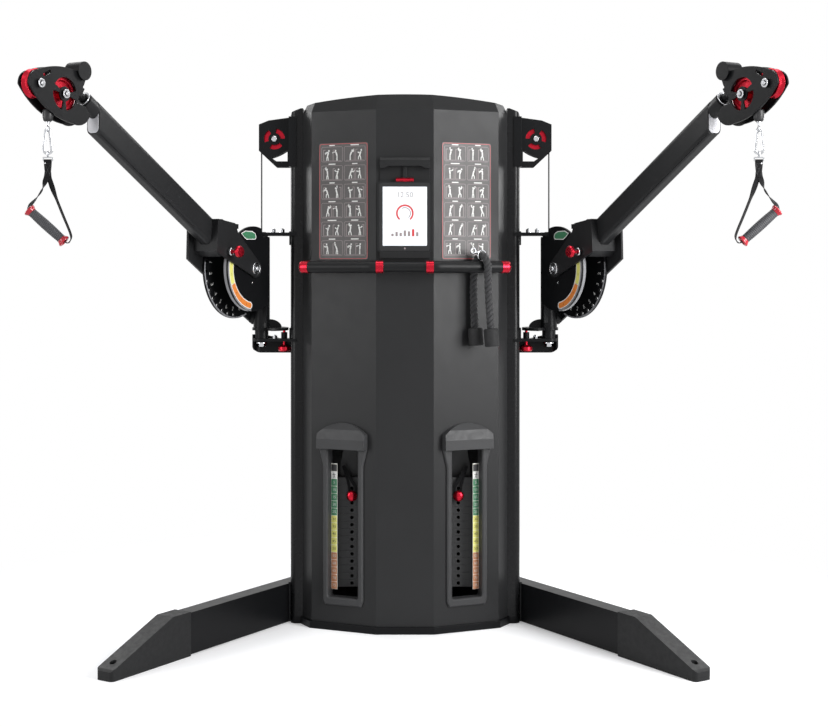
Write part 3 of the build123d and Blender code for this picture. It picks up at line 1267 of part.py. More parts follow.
with BuildPart() as tablet_clip:
    with BuildSketch(Plane.XY.offset(TRAY_TOP + FIT)):
        with Locations((0, -FRONT_Y - BACK_T - FIT - 9)):
            Rectangle(60, 18)
        with Locations((0, -FRONT_Y - BACK_T - RAIL_T / 2)):
            Rectangle(RAIL_W + 2 * FIT, RAIL_T + 2 * FIT, mode=Mode.SUBTRACT)
    extrude(amount=13)
    chamfer(tablet_clip.edges().filter_by(Axis.X).sort_by(Axis.Y)[:2], 4)
save(tablet_clip.part, "tablet_clip")

# ---- triceps rope over the bar ----------------------------------------------
ROPE_R = 13.5
ROPE_CAP_R = 25.0
ROPE_CAP_LEN = 60.0
ROPE_TWIST = 12.0
ROPE_HALF = 36.0
ROPE_LOW = 1040.0
RING_WIRE = 2.3
RING_R = ROPE_R + RING_WIRE + 0.7
rope_over = facet_normal.rotate(Axis.Z, ROPE_TWIST)
rope_rest = Vector(262, bar_y + (262 - BEND_X) * math.tan(math.radians(FACET_ANGLE)), BAR_Z)
rope_crest = rope_rest + up_dir * (BAR_R + 0.7 + RING_WIRE + RING_R)
rope_points = [
    Vector(240, -202, ROPE_LOW),
    Vector(232, -193, ROPE_LOW + 124),
    rope_crest - rope_over * ROPE_HALF,
    rope_crest + rope_over * ROPE_HALF,
    Vector(281, -252, ROPE_LOW + 124),
    Vector(291, -256, ROPE_LOW),
]


def corner_radii(points, share=0.45):
    """Largest fillets that leave a short straight between neighbouring corners."""
    radii = []
    for before, corner, after in zip(points, points[1:], points[2:]):
        turn = (corner - before).get_angle(after - corner)
        run = min((corner - before).length, (after - corner).length)
        radii.append(share * run / math.tan(math.radians(turn / 2)))
    return radii


rope_radii = corner_radii(rope_points)
print("rope radii", [round(radius, 2) for radius in rope_radii])
with BuildPart() as triceps_rope:
    with BuildLine():
        FilletPolyline(*rope_points, radius=rope_radii)
    with BuildSketch(Plane(origin=rope_points[0], z_dir=rope_points[1] - rope_points[0])):
        Circle(ROPE_R)
    sweep()
save(triceps_rope.part, "triceps_rope")

with BuildPart() as rope_ends:
    for tip, inner in ((rope_points[0], rope_points[1]), (rope_points[-1], rope_points[-2])):
        with BuildSketch(Plane(origin=tip, z_dir=tip - inner)):
            Circle(ROPE_CAP_R)
        extrude(amount=ROPE_CAP_LEN)
    chamfer(rope_ends.edges().filter_by(GeomType.CIRCLE), 3)
save(rope_ends.part, "rope_ends")

EYE_BEND = 8.5
EYE_THICK = 3.2
eye_spot = rope_crest + rope_over.cross(up_dir) * 36 + up_dir * 15
with BuildPart() as rope_fitting:
    for centre, bend, wire in ((rope_crest, RING_R, RING_WIRE), (eye_spot, EYE_BEND, EYE_THICK)):
        with BuildSketch(Plane(origin=centre, x_dir=up_dir, z_dir=rope_over.cross(up_dir))):
            with Locations((bend, 0)):
                Circle(wire)
        revolve(axis=Axis(centre, rope_over))
    stem_dir = (eye_spot - rope_crest).normalized()
    stem_len = (eye_spot - rope_crest).length - RING_R - EYE_BEND
    with BuildSketch(Plane(origin=rope_crest + stem_dir * RING_R, z_dir=stem_dir)):
        Circle(RING_WIRE)
    extrude(amount=stem_len)
    with BuildSketch(Plane(origin=rope_crest + stem_dir * (RING_R + 4), z_dir=stem_dir)):
        Circle(5)
    extrude(amount=stem_len - 7)
save(rope_fitting.part, "rope_fitting")
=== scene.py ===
"""Visual model of a cable crossover machine: light, coats, stage, and the pieces that carry fine detail."""
import math
import random

import bmesh
import bpy
from mathutils import Matrix, Vector


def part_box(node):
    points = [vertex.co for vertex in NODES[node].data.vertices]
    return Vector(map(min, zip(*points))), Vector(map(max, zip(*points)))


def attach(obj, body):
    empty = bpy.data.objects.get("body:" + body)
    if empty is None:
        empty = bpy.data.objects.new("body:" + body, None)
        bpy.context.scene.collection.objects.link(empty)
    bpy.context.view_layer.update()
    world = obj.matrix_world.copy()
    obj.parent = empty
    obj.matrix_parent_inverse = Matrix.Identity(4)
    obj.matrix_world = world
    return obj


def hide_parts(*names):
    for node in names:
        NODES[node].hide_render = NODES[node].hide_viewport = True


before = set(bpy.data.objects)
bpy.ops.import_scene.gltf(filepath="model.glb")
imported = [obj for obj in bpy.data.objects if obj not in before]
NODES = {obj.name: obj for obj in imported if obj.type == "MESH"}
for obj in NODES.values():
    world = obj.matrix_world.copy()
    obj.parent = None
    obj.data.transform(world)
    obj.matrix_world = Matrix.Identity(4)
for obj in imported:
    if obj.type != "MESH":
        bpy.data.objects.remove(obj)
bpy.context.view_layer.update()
MM = 0.001
SIDES = ("right", "left")

# ---- camera, world and lamps ------------------------------------------------
EYE = (0.031, -5.230, 1.239)
LENS_MM = 63.9
SENSOR_MM = 36.0
SHIFT_UP = -0.113
FAR_CLIP = 60.0
SKY_COLOUR = (0.93, 0.96, 1.0, 1)
SKY_LIGHT = 0.22

camera_data = bpy.data.cameras.new("camera")
camera_data.lens = LENS_MM
camera_data.sensor_width = SENSOR_MM
camera_data.shift_y = SHIFT_UP
camera_data.clip_end = FAR_CLIP
camera = bpy.data.objects.new("camera", camera_data)
camera.location = EYE
camera.rotation_euler = (math.radians(90), 0, 0)
bpy.context.scene.collection.objects.link(camera)
bpy.context.scene.camera = camera
bpy.context.scene.view_settings.view_transform = "Standard"


def link(tree, a, b):
    tree.links.new(a, b)


def white_for_eye(tree, seen, lit):
    """Mix of two shaders: seen for camera, glossy and transmission rays, lit for all others."""
    path = tree.nodes.new("ShaderNodeLightPath")
    any_of = path.outputs["Is Camera Ray"]
    for ray in ("Is Glossy Ray", "Is Transmission Ray"):
        add = tree.nodes.new("ShaderNodeMath")
        add.operation = "MAXIMUM"
        link(tree, any_of, add.inputs[0])
        link(tree, path.outputs[ray], add.inputs[1])
        any_of = add.outputs[0]
    mix = tree.nodes.new("ShaderNodeMixShader")
    link(tree, any_of, mix.inputs[0])
    link(tree, lit, mix.inputs[1])
    link(tree, seen, mix.inputs[2])
    return mix.outputs[0]


world = bpy.data.worlds.new("studio")
world.use_nodes = True
bpy.context.scene.world = world
tree = world.node_tree
tree.nodes.clear()
seen = tree.nodes.new("ShaderNodeBackground")
seen.inputs["Color"].default_value = (1, 1, 1, 1)
dome = tree.nodes.new("ShaderNodeBackground")
dome.inputs["Color"].default_value = SKY_COLOUR
dome.inputs["Strength"].default_value = SKY_LIGHT
out = tree.nodes.new("ShaderNodeOutputWorld")
link(tree, white_for_eye(tree, seen.outputs[0], dome.outputs[0]), out.inputs["Surface"])


def lamp(name, place, aim, size, watts):
    """Area lamp at a place, turned to an aim; its size is width and height."""
    data = bpy.data.lights.new(name, "AREA")
    data.shape = "RECTANGLE"
    data.size, data.size_y = size
    data.energy = watts
    thing = bpy.data.objects.new(name, data)
    thing.location = place
    thing.rotation_euler = (Vector(aim) - Vector(place)).to_track_quat("-Z", "Y").to_euler()
    bpy.context.scene.collection.objects.link(thing)


lamp("key_right", (3.1, -2.7, 2.1), (0.1, 0, 1.1), (1.5, 2.8), 230)
lamp("fill_left", (-3.3, -2.5, 1.8), (-0.2, 0, 1.0), (1.2, 2.6), 60)
lamp("front_high", (0.2, -3.8, 4.2), (0, 0, 1.0), (3.0, 1.2), 16)
lamp("rim_left", (-2.9, 1.6, 2.6), (0, 0, 1.1), (0.9, 2.6), 60)
lamp("rim_right", (2.9, 1.6, 2.6), (0, 0, 1.1), (0.9, 2.6), 70)
lamp("top", (0, 0.2, 4.4), (0, 0, 0), (2.6, 1.8), 60)

# ---- materials --------------------------------------------------------------
NOISE_ROUGHNESS = 0.55
ROUGH_SPAN = (0.35, 0.65)    # of the noise that moves the roughness
BEVEL_SAMPLES = 4
EDGE_SPAN = (0.80, 0.985)    # cosine of the turn at a corner: full wear and painted highlight to untouched
EDGE_WEAR_HIGHLIGHT_SHARE = (0.25, 0.95)
EDGE_WEAR_HIGHLIGHT_SPAN = (0.42, 0.62)
WARP_SCALE = 1500 / 6.28
WEFT_SCALE = 1500 / 9.5


class Paint:
    """Node helper around one Principled shader in object coordinates."""

    def __init__(self, name, colour, rough, metal=0.0, spec=0.5):
        self.mat = bpy.data.materials.new(name)
        self.mat.use_nodes = True
        self.tree = self.mat.node_tree
        self.shader = self.tree.nodes["Principled BSDF"]
        self.shader.inputs["Base Color"].default_value = (*colour, 1)
        self.shader.inputs["Roughness"].default_value = rough
        self.shader.inputs["Metallic"].default_value = metal
        self.shader.inputs["Specular IOR Level"].default_value = spec
        self.coords = self.tree.nodes.new("ShaderNodeTexCoord").outputs["Object"]
        self.colour = colour
        self.normal = None

    def node(self, kind, **values):
        made = self.tree.nodes.new(kind)
        for key, value in values.items():
            setattr(made, key, value)
        return made

    def stretched(self, scale):
        mapping = self.node("ShaderNodeMapping")
        mapping.inputs["Scale"].default_value = scale
        link(self.tree, self.coords, mapping.inputs["Vector"])
        return mapping.outputs[0]

    def noise(self, scale, detail, stretch=None):
        made = self.node("ShaderNodeTexNoise")
        made.inputs["Scale"].default_value = scale
        made.inputs["Detail"].default_value = detail
        made.inputs["Roughness"].default_value = NOISE_ROUGHNESS
        link(self.tree, self.stretched(stretch) if stretch else self.coords, made.inputs["Vector"])
        return made.outputs["Fac"]

    def cells(self, scale):
        made = self.node("ShaderNodeTexVoronoi")
        made.inputs["Scale"].default_value = scale
        link(self.tree, self.coords, made.inputs["Vector"])
        return made.outputs["Distance"]

    def wave(self, scale, direction):
        made = self.node("ShaderNodeTexWave", bands_direction=direction)
        made.inputs["Scale"].default_value = scale
        link(self.tree, self.coords, made.inputs["Vector"])
        return made.outputs["Fac"]

    def math(self, operation, a, b):
        made = self.node("ShaderNodeMath", operation=operation)
        link(self.tree, a, made.inputs[0])
        link(self.tree, b, made.inputs[1])
        return made.outputs[0]

    def span(self, value, low, high, start=0.0, end=1.0):
        """Value between start and end carried over to low and high, and clamped there."""
        made = self.node("ShaderNodeMapRange")
        link(self.tree, value, made.inputs["Value"])
        for key, number in zip(("From Min", "From Max", "To Min", "To Max"), (start, end, low, high)):
            made.inputs[key].default_value = number
        return made.outputs["Result"]

    def shade(self, times, plus=0.0):
        return tuple(c * times + plus for c in self.colour)

    def tint(self, factor, other):
        """Mix another colour in by a factor; chains on what the base colour already is."""
        mix = self.node("ShaderNodeMix", data_type="RGBA")
        link(self.tree, factor, mix.inputs["Factor"])
        socket = self.shader.inputs["Base Color"]
        if socket.is_linked:
            link(self.tree, socket.links[0].from_socket, mix.inputs["A"])
        else:
            mix.inputs["A"].default_value = (*self.colour, 1)
        mix.inputs["B"].default_value = (*other, 1)
        link(self.tree, mix.outputs["Result"], socket)

    def mottle(self, scale, detail, most, other, start=0.4, end=0.7):
        """Soft patches of another colour, at most so strong."""
        self.tint(self.span(self.noise(scale, detail), 0.0, most, start, end), other)

    def uneven(self, scale, detail, rough, less, more):
        """Roughness that wanders between rough - less and rough + more."""
        value = self.span(self.noise(scale, detail), rough - less, rough + more, *ROUGH_SPAN)
        link(self.tree, value, self.shader.inputs["Roughness"])

    def bump(self, height, depth, strength):
        made = self.node("ShaderNodeBump")
        made.inputs["Strength"].default_value = strength
        made.inputs["Distance"].default_value = depth
        link(self.tree, height, made.inputs["Height"])
        if self.normal:
            link(self.tree, self.normal, made.inputs["Normal"])
        self.normal = made.outputs[0]
        link(self.tree, self.normal, self.shader.inputs["Normal"])

    def soft_edges(self, radius, wear_and_highlight=None):
        """Rounded corners in the shading, and a lighter colour where the corner turns: edge wear together
        with a painted highlight of the edge catching light.
        """
        made = self.node("ShaderNodeBevel", samples=BEVEL_SAMPLES)
        made.inputs["Radius"].default_value = radius
        self.normal = made.outputs[0]
        link(self.tree, self.normal, self.shader.inputs["Normal"])
        # the lighter edge colour is partly wear, partly a painted highlight of edges catching light
        if wear_and_highlight:
            true = self.node("ShaderNodeNewGeometry").outputs["Normal"]
            dot = self.node("ShaderNodeVectorMath", operation="DOT_PRODUCT")
            link(self.tree, made.outputs[0], dot.inputs[0])
            link(self.tree, true, dot.inputs[1])
            edge = self.span(dot.outputs["Value"], 1.0, 0.0, *EDGE_SPAN)
            patchy = self.span(self.noise(38, 4), *EDGE_WEAR_HIGHLIGHT_SHARE, *EDGE_WEAR_HIGHLIGHT_SPAN)
            self.tint(self.math("MULTIPLY", edge, patchy), wear_and_highlight)


def powder_coat(name, colour, rough=0.42, grain=1400, depth=0.00012, spec=0.24):
    paint = Paint(name, colour, rough, spec=spec)
    paint.mottle(5.5, 4, 0.3, paint.shade(1.2, 0.001), start=0.35)
    # lighter edges: wear and a painted highlight
    paint.soft_edges(0.0014, paint.shade(1.7, 0.012))
    paint.bump(paint.noise(grain, 2), depth, 0.5)
    paint.bump(paint.noise(260, 2), depth * 1.5, 0.35)
    paint.uneven(24, 5, rough, 0.015, 0.03)
    return paint.mat


def moulded(name, colour, rough=0.5):
    paint = Paint(name, colour, rough, spec=0.2)
    # lighter edges: wear and a painted highlight
    paint.soft_edges(0.0018, paint.shade(1.9, 0.012))
    paint.mottle(9, 4, 0.3, paint.shade(1.4))
    paint.bump(paint.cells(900), 0.0002, 0.55)
    paint.uneven(60, 4, rough, 0.06, 0.08)
    return paint.mat


def anodised(name, colour, rough=0.24):
    paint = Paint(name, colour, rough, metal=0.85)
    # lighter edges: wear and a painted highlight
    paint.soft_edges(0.0007, paint.shade(1.3, 0.08))
    paint.mottle(30, 4, 0.4, paint.shade(0.75))
    paint.bump(paint.noise(900, 2), 0.000008, 0.4)
    paint.uneven(90, 4, rough, 0.05, 0.1)
    return paint.mat


def bright_metal(name, colour, rough, brushed=False):
    paint = Paint(name, colour, rough, metal=1.0)
    paint.soft_edges(0.0006)
    paint.mottle(70, 5, 0.35, paint.shade(0.7), start=0.5, end=0.75)
    grain = paint.noise(1100, 2, stretch=(1, 1, 0.05)) if brushed else paint.noise(420, 2)
    paint.bump(grain, 0.00004, 0.5)
    paint.uneven(120, 4, rough, 0.03, 0.08)
    return paint.mat


def rubbery(name, colour, rough=0.72):
    paint = Paint(name, colour, rough, spec=0.3)
    paint.mottle(40, 5, 0.4, paint.shade(1.7, 0.004))
    paint.bump(paint.noise(900, 3), 0.0002, 0.6)
    paint.uneven(80, 3, rough, 0.08, 0.1)
    return paint.mat


def woven(name, colour):
    """Flat webbing: warp ribs with a finer weft across."""
    paint = Paint(name, colour, 0.8, spec=0.12)
    paint.shader.inputs["Sheen Weight"].default_value = 0.04
    weave = paint.math("MULTIPLY", paint.wave(WARP_SCALE, "Y"), paint.wave(WEFT_SCALE, "Z"))
    paint.tint(paint.span(weave, 0.0, 0.6), paint.shade(1.8, 0.004))
    paint.bump(weave, 0.0005, 0.8)
    paint.bump(paint.noise(2200, 2), 0.0001, 0.5)
    return paint.mat


def braided(name, colour):
    paint = Paint(name, colour, 0.62, spec=0.35)
    paint.shader.inputs["Sheen Weight"].default_value = 0.2
    fibres = paint.noise(420, 3, stretch=(1, 1, 0.12))
    paint.tint(paint.span(fibres, 0.0, 0.75, 0.35, 0.7), paint.shade(3, 0.012))
    paint.bump(fibres, 0.0006, 0.8)
    paint.bump(paint.cells(900), 0.0002, 0.5)
    return paint.mat


def printed(name, colour, rough=0.38):
    paint = Paint(name, colour, rough, spec=0.45)
    paint.mottle(55, 5, 0.25, paint.shade(0.8))
    paint.bump(paint.noise(1800, 2), 0.00003, 0.4)
    paint.uneven(100, 3, rough, 0.05, 0.07)
    return paint.mat


def lit_screen():
    paint = Paint("screen_lit", (0.74, 0.77, 0.80), 0.1)
    paint.mottle(7, 2, 0.4, (0.66, 0.70, 0.75))
    paint.shader.inputs["Emission Color"].default_value = (0.85, 0.92, 1.0, 1)
    paint.shader.inputs["Emission Strength"].default_value = 0.18
    paint.bump(paint.noise(900, 2), 0.00001, 0.3)
    return paint.mat


FRAME = powder_coat("frame_coat", (0.0048, 0.0050, 0.0056), 0.33, spec=0.11)
COLUMN = powder_coat("column_coat", (0.0065, 0.0066, 0.0072), 0.26, spec=0.17)
SHROUD = powder_coat("shroud_coat", (0.0160, 0.0162, 0.0168), 0.36, grain=1800, spec=0.17)
ARM_COAT = powder_coat("arm_coat", (0.0125, 0.0127, 0.0134), 0.34, spec=0.15)
CAP = powder_coat("cap_coat", (0.0125, 0.0127, 0.0131), 0.40, spec=0.15)
BAR = powder_coat("bar_coat", (0.007, 0.0072, 0.0077), 0.38, spec=0.15)
PLASTIC = moulded("moulded_black", (0.0085, 0.0087, 0.0092))
HOOD = moulded("hood_grey", (0.036, 0.0363, 0.0375), 0.40)
RED = anodised("red_anodised", (0.46, 0.010, 0.026))
CHROME = bright_metal("chrome", (0.56, 0.57, 0.59), 0.13)
STEEL = bright_metal("ground_steel", (0.60, 0.61, 0.63), 0.24, brushed=True)
IRON = powder_coat("plate_paint", (0.036, 0.0362, 0.037), 0.36, grain=700, depth=0.0003)
RUBBER = rubbery("rubber_black", (0.012, 0.012, 0.0125))
CABLE = rubbery("cable_jacket", (0.010, 0.010, 0.011), 0.45)
WEBBING = woven("webbing_black", (0.005, 0.005, 0.0055))
CHART = printed("chart_panel", (0.052, 0.047, 0.046), 0.42)
LABEL = printed("label_base", (0.80, 0.79, 0.72))
WHITE = printed("ink_white", (0.66, 0.66, 0.64))
GREY = printed("ink_grey", (0.24, 0.20, 0.20))
# black print, also used for painted shade in the bolt, pivot and collar gaps
DARK_INK_AND_SHADE = printed("ink_and_shade_black", (0.015, 0.015, 0.016))
YELLOW = printed("ink_yellow", (0.62, 0.60, 0.16))
ORANGE = printed("ink_orange", (0.62, 0.19, 0.035))
GREEN = printed("ink_green", (0.045, 0.17, 0.085))
PALE_INK = printed("ink_pale", (0.52, 0.56, 0.52))
COPPER = printed("ink_copper", (0.40, 0.17, 0.085))
GRIP = rubbery("grip_rubber", (0.040, 0.0405, 0.044), 0.5)
# painted highlight: mid grey for the black plastic plug at the arm's end, standing for its lit end face
END_CAP_HIGHLIGHT = moulded("end_cap_highlight_grey", (0.50, 0.50, 0.52), 0.45)
# painted highlight: light grey for the edges of the black swivel plates where they catch light
RIM_HIGHLIGHT = powder_coat("rim_highlight", (0.20, 0.20, 0.21), 0.32)
RED_INK = printed("ink_red", (0.52, 0.035, 0.04))
TABLET = printed("tablet_body", (0.010, 0.010, 0.011), 0.12)


SCREEN = lit_screen()
GLOSS_RED = printed("cap_red", (0.36, 0.010, 0.022), 0.14)
BALL = rubbery("stop_rubber", (0.016, 0.016, 0.017), 0.38)
THREAD = rubbery("thread_grey", (0.06, 0.06, 0.062), 0.8)
ROPE = braided("rope_fibre", (0.010, 0.010, 0.011))


def wear(node, material):
    """A CAD node's better material."""
    slots = NODES[node].data.materials
    slots.clear()
    slots.append(material)


for names, material in (
    ("base_plinth legs bar_brackets top_pulley_brackets pivot_brackets", FRAME),
    ("side_columns", COLUMN),
    ("front_shroud rear_shroud", SHROUD),
    ("top_cap", CAP),
    ("window_bezels", HOOD),
    ("guide_rods", STEEL),
    ("weight_stacks", IRON),
    ("stack_bumpers rope_ends", RUBBER),
    ("weight_labels", LABEL),
    ("exercise_charts", CHART),
    ("foot_covers tablet_holder", PLASTIC),
    ("accessory_bar", BAR),
    ("bar_collars tablet_clip", RED),
    ("tablet", TABLET),
    ("chrome_bolts rope_fitting", CHROME),
    ("lift_cables triceps_rope", CABLE),
):
    for node in names.split():
        wear(node, material)
for side in SIDES:
    for names, material in (
        ("swivel_frame head_frame", FRAME),
        ("arm_tube", ARM_COAT),
        ("pivot_bolt carabiner", CHROME),
        ("lift_pin swivel_pin main_pulley guide_pulley top_pulley selector_pin", RED),
        ("head_cable cable_lead", CABLE),
        ("cable_stop", PLASTIC),
        ("lifted_plates", IRON),
        ("handle_strap", WEBBING),
        ("handle_grip", RUBBER),
    ):
        for node in names.split():
            wear(f"{side}_{node}", material)

# ---- stage ------------------------------------------------------------------


FLOOR_HALF = 30.0
FLOOR_GREY = (0.80, 0.80, 0.81, 1)
FLOOR_GLOW = 0.26
FADE_START, FADE_END = 0.9, 1.9    # metres from the tower's foot


def make_floor():
    """Pale ground that catches the shadow near the machine and fades to white around it."""
    mesh = bpy.data.meshes.new("floor")
    corners = [(a * FLOOR_HALF, b * FLOOR_HALF, 0) for a, b in ((-1, -1), (1, -1), (1, 1), (-1, 1))]
    mesh.from_pydata(corners, [], [(0, 1, 2, 3)])
    floor = bpy.data.objects.new("floor", mesh)
    floor.location.z = -0.0005
    bpy.context.scene.collection.objects.link(floor)
    mat = bpy.data.materials.new("floor")
    mat.use_nodes = True
    tree = mat.node_tree
    tree.nodes.clear()
    pale = tree.nodes.new("ShaderNodeBsdfDiffuse")
    pale.inputs["Color"].default_value = FLOOR_GREY
    glow = tree.nodes.new("ShaderNodeEmission")
    glow.inputs["Strength"].default_value = FLOOR_GLOW
    both = tree.nodes.new("ShaderNodeAddShader")
    link(tree, pale.outputs[0], both.inputs[0])
    link(tree, glow.outputs[0], both.inputs[1])
    away = tree.nodes.new("ShaderNodeVectorMath")
    away.operation = "LENGTH"
    link(tree, tree.nodes.new("ShaderNodeTexCoord").outputs["Object"], away.inputs[0])
    fade = tree.nodes.new("ShaderNodeMapRange")
    fade.interpolation_type = "SMOOTHSTEP"
    fade.inputs["From Min"].default_value = FADE_START
    fade.inputs["From Max"].default_value = FADE_END
    link(tree, away.outputs["Value"], fade.inputs["Value"])
    white = tree.nodes.new("ShaderNodeEmission")
    shown = tree.nodes.new("ShaderNodeMixShader")
    link(tree, fade.outputs["Result"], shown.inputs[0])
    link(tree, both.outputs[0], shown.inputs[1])
    link(tree, white.outputs[0], shown.inputs[2])
    out = tree.nodes.new("ShaderNodeOutputMaterial")
    link(tree, white_for_eye(tree, shown.outputs[0], pale.outputs[0]), out.inputs["Surface"])
    mesh.materials.append(mat)


make_floor()

# ---- the machine's frames, in millimetres -----------------------------------
UP = Vector((0, 0, 1))


class Place:
    """A right-hand frame of the machine; its mirror image serves the left side."""

    def __init__(self, origin, x, y):
        self.origin = Vector(origin)
        self.x = Vector(x).normalized()
        self.y = Vector(y).normalized()
        self.z = self.x.cross(self.y)

    def at(self, a, b, c, side):
        point = self.origin + self.x * a + self.y * b + self.z * c
        if side == "left":
            point.x = -point.x
        return point * MM


SWING = math.radians(60)          # of the arms, from sideways to the front
RAISE = math.radians(31)          # of the arms, above level
POST = Vector((508, -30, 1243))   # on the swivel's upright axis, at the pivot's height
PIVOT_OUT = 105
ARM_REACH = 1039
CABLE_RISE = 22                   # of the cable's line over the arm's middle
PULLEY_R = 48
OUT = Vector((math.cos(SWING), -math.sin(SWING), 0))
ARM = OUT * math.cos(RAISE) + UP * math.sin(RAISE)
PIVOT = POST + OUT * PIVOT_OUT
ARM_UP = UP * math.cos(RAISE) - OUT * math.sin(RAISE)
HEAD = PIVOT + ARM * ARM_REACH + ARM_UP * (CABLE_RISE - PULLEY_R)
FRONT_Y = -230
swing_place = Place(PIVOT, OUT, UP)            # z points to the front of the arm's plane
arm_place = Place(PIVOT, ARM, ARM_UP)
head_place = Place(HEAD, OUT, UP)
hang_place = Place(HEAD + OUT * PULLEY_R, (1, 0, 0), UP)
front_place = Place((0, FRONT_Y, 0), (1, 0, 0), UP)
FACET_START, FACET_END = Vector((98, -230, 0)), Vector((324, -136, 0))    # seen from above
facet_place = Place((FACET_START + FACET_END) / 2, FACET_END - FACET_START, UP)


def polar(radius, degrees, centre=(0, 0)):
    turn = math.radians(degrees)
    return (centre[0] + radius * math.cos(turn), centre[1] + radius * math.sin(turn))


def bridge(form, rings):
    """Faces between rings of as many points each."""
    for a, b in zip(rings, rings[1:]):
        for k in range(len(a)):
            j = (k + 1) % len(a)
            form.faces.new((a[k], a[j], b[j], b[k]))


def skin(form, rings):
    """A closed tube over rings."""
    bridge(form, rings)
    form.faces.new(rings[0])
    form.faces.new(list(reversed(rings[-1])))


BEVEL_FROM = math.radians(35)


class Sheet:
    """Collects flat and solid parts of one material into one mesh."""

    def __init__(self):
        self.form = bmesh.new()

    def ring(self, outline, level, place, side):
        return [self.form.verts.new(place.at(a, b, level, side)) for a, b in outline]

    def prism(self, outline, low, high, place, side="right"):
        """Closed outline (a, b) pushed from level low to level high along the place's normal."""
        rings = [self.ring(outline, level, place, side) for level in (low, high)]
        bridge(self.form, rings)
        self.form.faces.new(rings[1])
        self.form.faces.new(list(reversed(rings[0])))

    def band(self, outer, inner, low, high, place, side="right"):
        """Frame between two outlines with the same number of points."""
        rings = [self.ring(outline, level, place, side)
                 for level in (low, high) for outline in (outer, inner)]
        for i in range(len(outer)):
            j = (i + 1) % len(outer)
            for p, q in ((0, 2), (2, 3), (3, 1), (1, 0)):
                self.form.faces.new((rings[p][i], rings[p][j], rings[q][j], rings[q][i]))

    def bar(self, a, b, width, low, high, place, side="right"):
        """A limb: a straight bar with cut ends between two points."""
        x, y = Vector((a[1] - b[1], b[0] - a[0])).normalized() * (width / 2)
        outline = [(a[0] + x, a[1] + y), (a[0] - x, a[1] - y), (b[0] - x, b[1] - y), (b[0] + x, b[1] + y)]
        self.prism(outline, low, high, place, side)

    def take(self, mesh):
        """Add a mesh's faces; the mesh itself is removed."""
        self.form.from_mesh(mesh)
        bpy.data.meshes.remove(mesh)

    def part(self, name="part"):
        mesh = bpy.data.meshes.new(name)
        self.form.to_mesh(mesh)
        self.form.free()
        return mesh

    def done(self, name, material, body, slot, **finish):
        bmesh.ops.recalc_face_normals(self.form, faces=self.form.faces)
        return piece(name, self.part(name), material, body, slot, **finish)


def piece(name, mesh, material, body, slot, bevel=0.0, segments=2, smooth=False):
    thing = bpy.data.objects.new(name, mesh)
    bpy.context.scene.collection.objects.link(thing)
    mesh.materials.append(material)
    if smooth or bevel:
        for face in mesh.polygons:
            face.use_smooth = True
    if bevel:
        soften = thing.modifiers.new("bevel", "BEVEL")
        soften.width = bevel
        soften.segments = segments
        soften.limit_method = "ANGLE"
        soften.angle_limit = BEVEL_FROM
        thing.modifiers.new("normals", "WEIGHTED_NORMAL").keep_sharp = True
    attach(thing, body)
    return thing


def turned(profile, place, centre=(0, 0), side="right", segments=48):
    """Sheet with a profile of (radius, level) turned about the place's normal at a centre."""
    sheet = Sheet()
    turns = [2 * math.pi * k / segments for k in range(segments)]
    rings = []
    for radius, level in profile:
        outline = [(centre[0] + radius * math.cos(t), centre[1] + radius * math.sin(t)) for t in turns]
        rings.append(sheet.ring(outline if radius else [centre], level, place, side))
    for a, b in zip(rings, rings[1:]):
        for k in range(segments):
            j = (k + 1) % segments
            if len(a) == 1:
                sheet.form.faces.new((a[0], b[k], b[j]))
            elif len(b) == 1:
                sheet.form.faces.new((a[k], a[j], b[0]))
            else:
                sheet.form.faces.new((a[k], a[j], b[j], b[k]))
    return sheet


def rounded(width, height, radius, centre=(0, 0), steps=4):
    """Outline of a rounded rectangle."""
    points = []
    for sx, sy, start in ((1, 1, 0), (-1, 1, 90), (-1, -1, 180), (1, -1, 270)):
        corner = (centre[0] + sx * (width / 2 - radius), centre[1] + sy * (height / 2 - radius))
        points += [polar(radius, start + 90 * k / steps, corner) for k in range(steps + 1)]
    return points


def arc_outline(inner, outer, start, end, steps=24):
    """Curved band about the origin with square ends."""
    turns = [start + (end - start) * k / steps for k in range(steps + 1)]
    return [polar(outer, t) for t in turns] + [polar(inner, t) for t in reversed(turns)]


def lozenge_arc(middle, half, start, end, start_round=True):
    """Curved band about the origin with round ends."""
    steps = 26
    points = arc_outline(middle - half, middle + half, start, end, steps)

    def cap(angle, first):
        return [polar(half, angle + first - 180 * k / 8, polar(middle, angle)) for k in range(1, 8)]
    return points[:steps + 1] + cap(end, 0) + points[steps + 1:] + (cap(start, 180) if start_round else [])


def drawn(curve):
    """The mesh that a curve or a text draws; the curve itself is removed."""
    holder = bpy.data.objects.new("curve", curve)
    bpy.context.scene.collection.objects.link(holder)
    bpy.context.view_layer.update()
    mesh = bpy.data.meshes.new_from_object(holder.evaluated_get(bpy.context.evaluated_depsgraph_get()))
    bpy.data.objects.remove(holder)
    bpy.data.curves.remove(curve)
    return mesh


def numeral(sheet, words, size, place, a, b, level, turn=0.0, side="right"):
    """Generic numbers cut from the built-in font, lying flat at a level."""
    curve = bpy.data.curves.new("numeral", "FONT")
    curve.body = words
    curve.size = size * MM
    curve.align_x = "CENTER"
    curve.align_y = "CENTER"
    curve.resolution_u = 2
    x, y = place.x.copy(), place.y.copy()
    if side == "left":    # mirrored place, but numbers that still read from left to right
        x.y, x.z, y.x, turn = -x.y, -x.z, -y.x, -turn
    spin = math.radians(turn)
    across = x * math.cos(spin) + y * math.sin(spin)
    upward = y * math.cos(spin) - x * math.sin(spin)
    matrix = Matrix((across, upward, across.cross(upward))).transposed().to_4x4()
    matrix.translation = place.at(a, b, level, side)
    mesh = drawn(curve)
    mesh.transform(matrix)
    sheet.take(mesh)


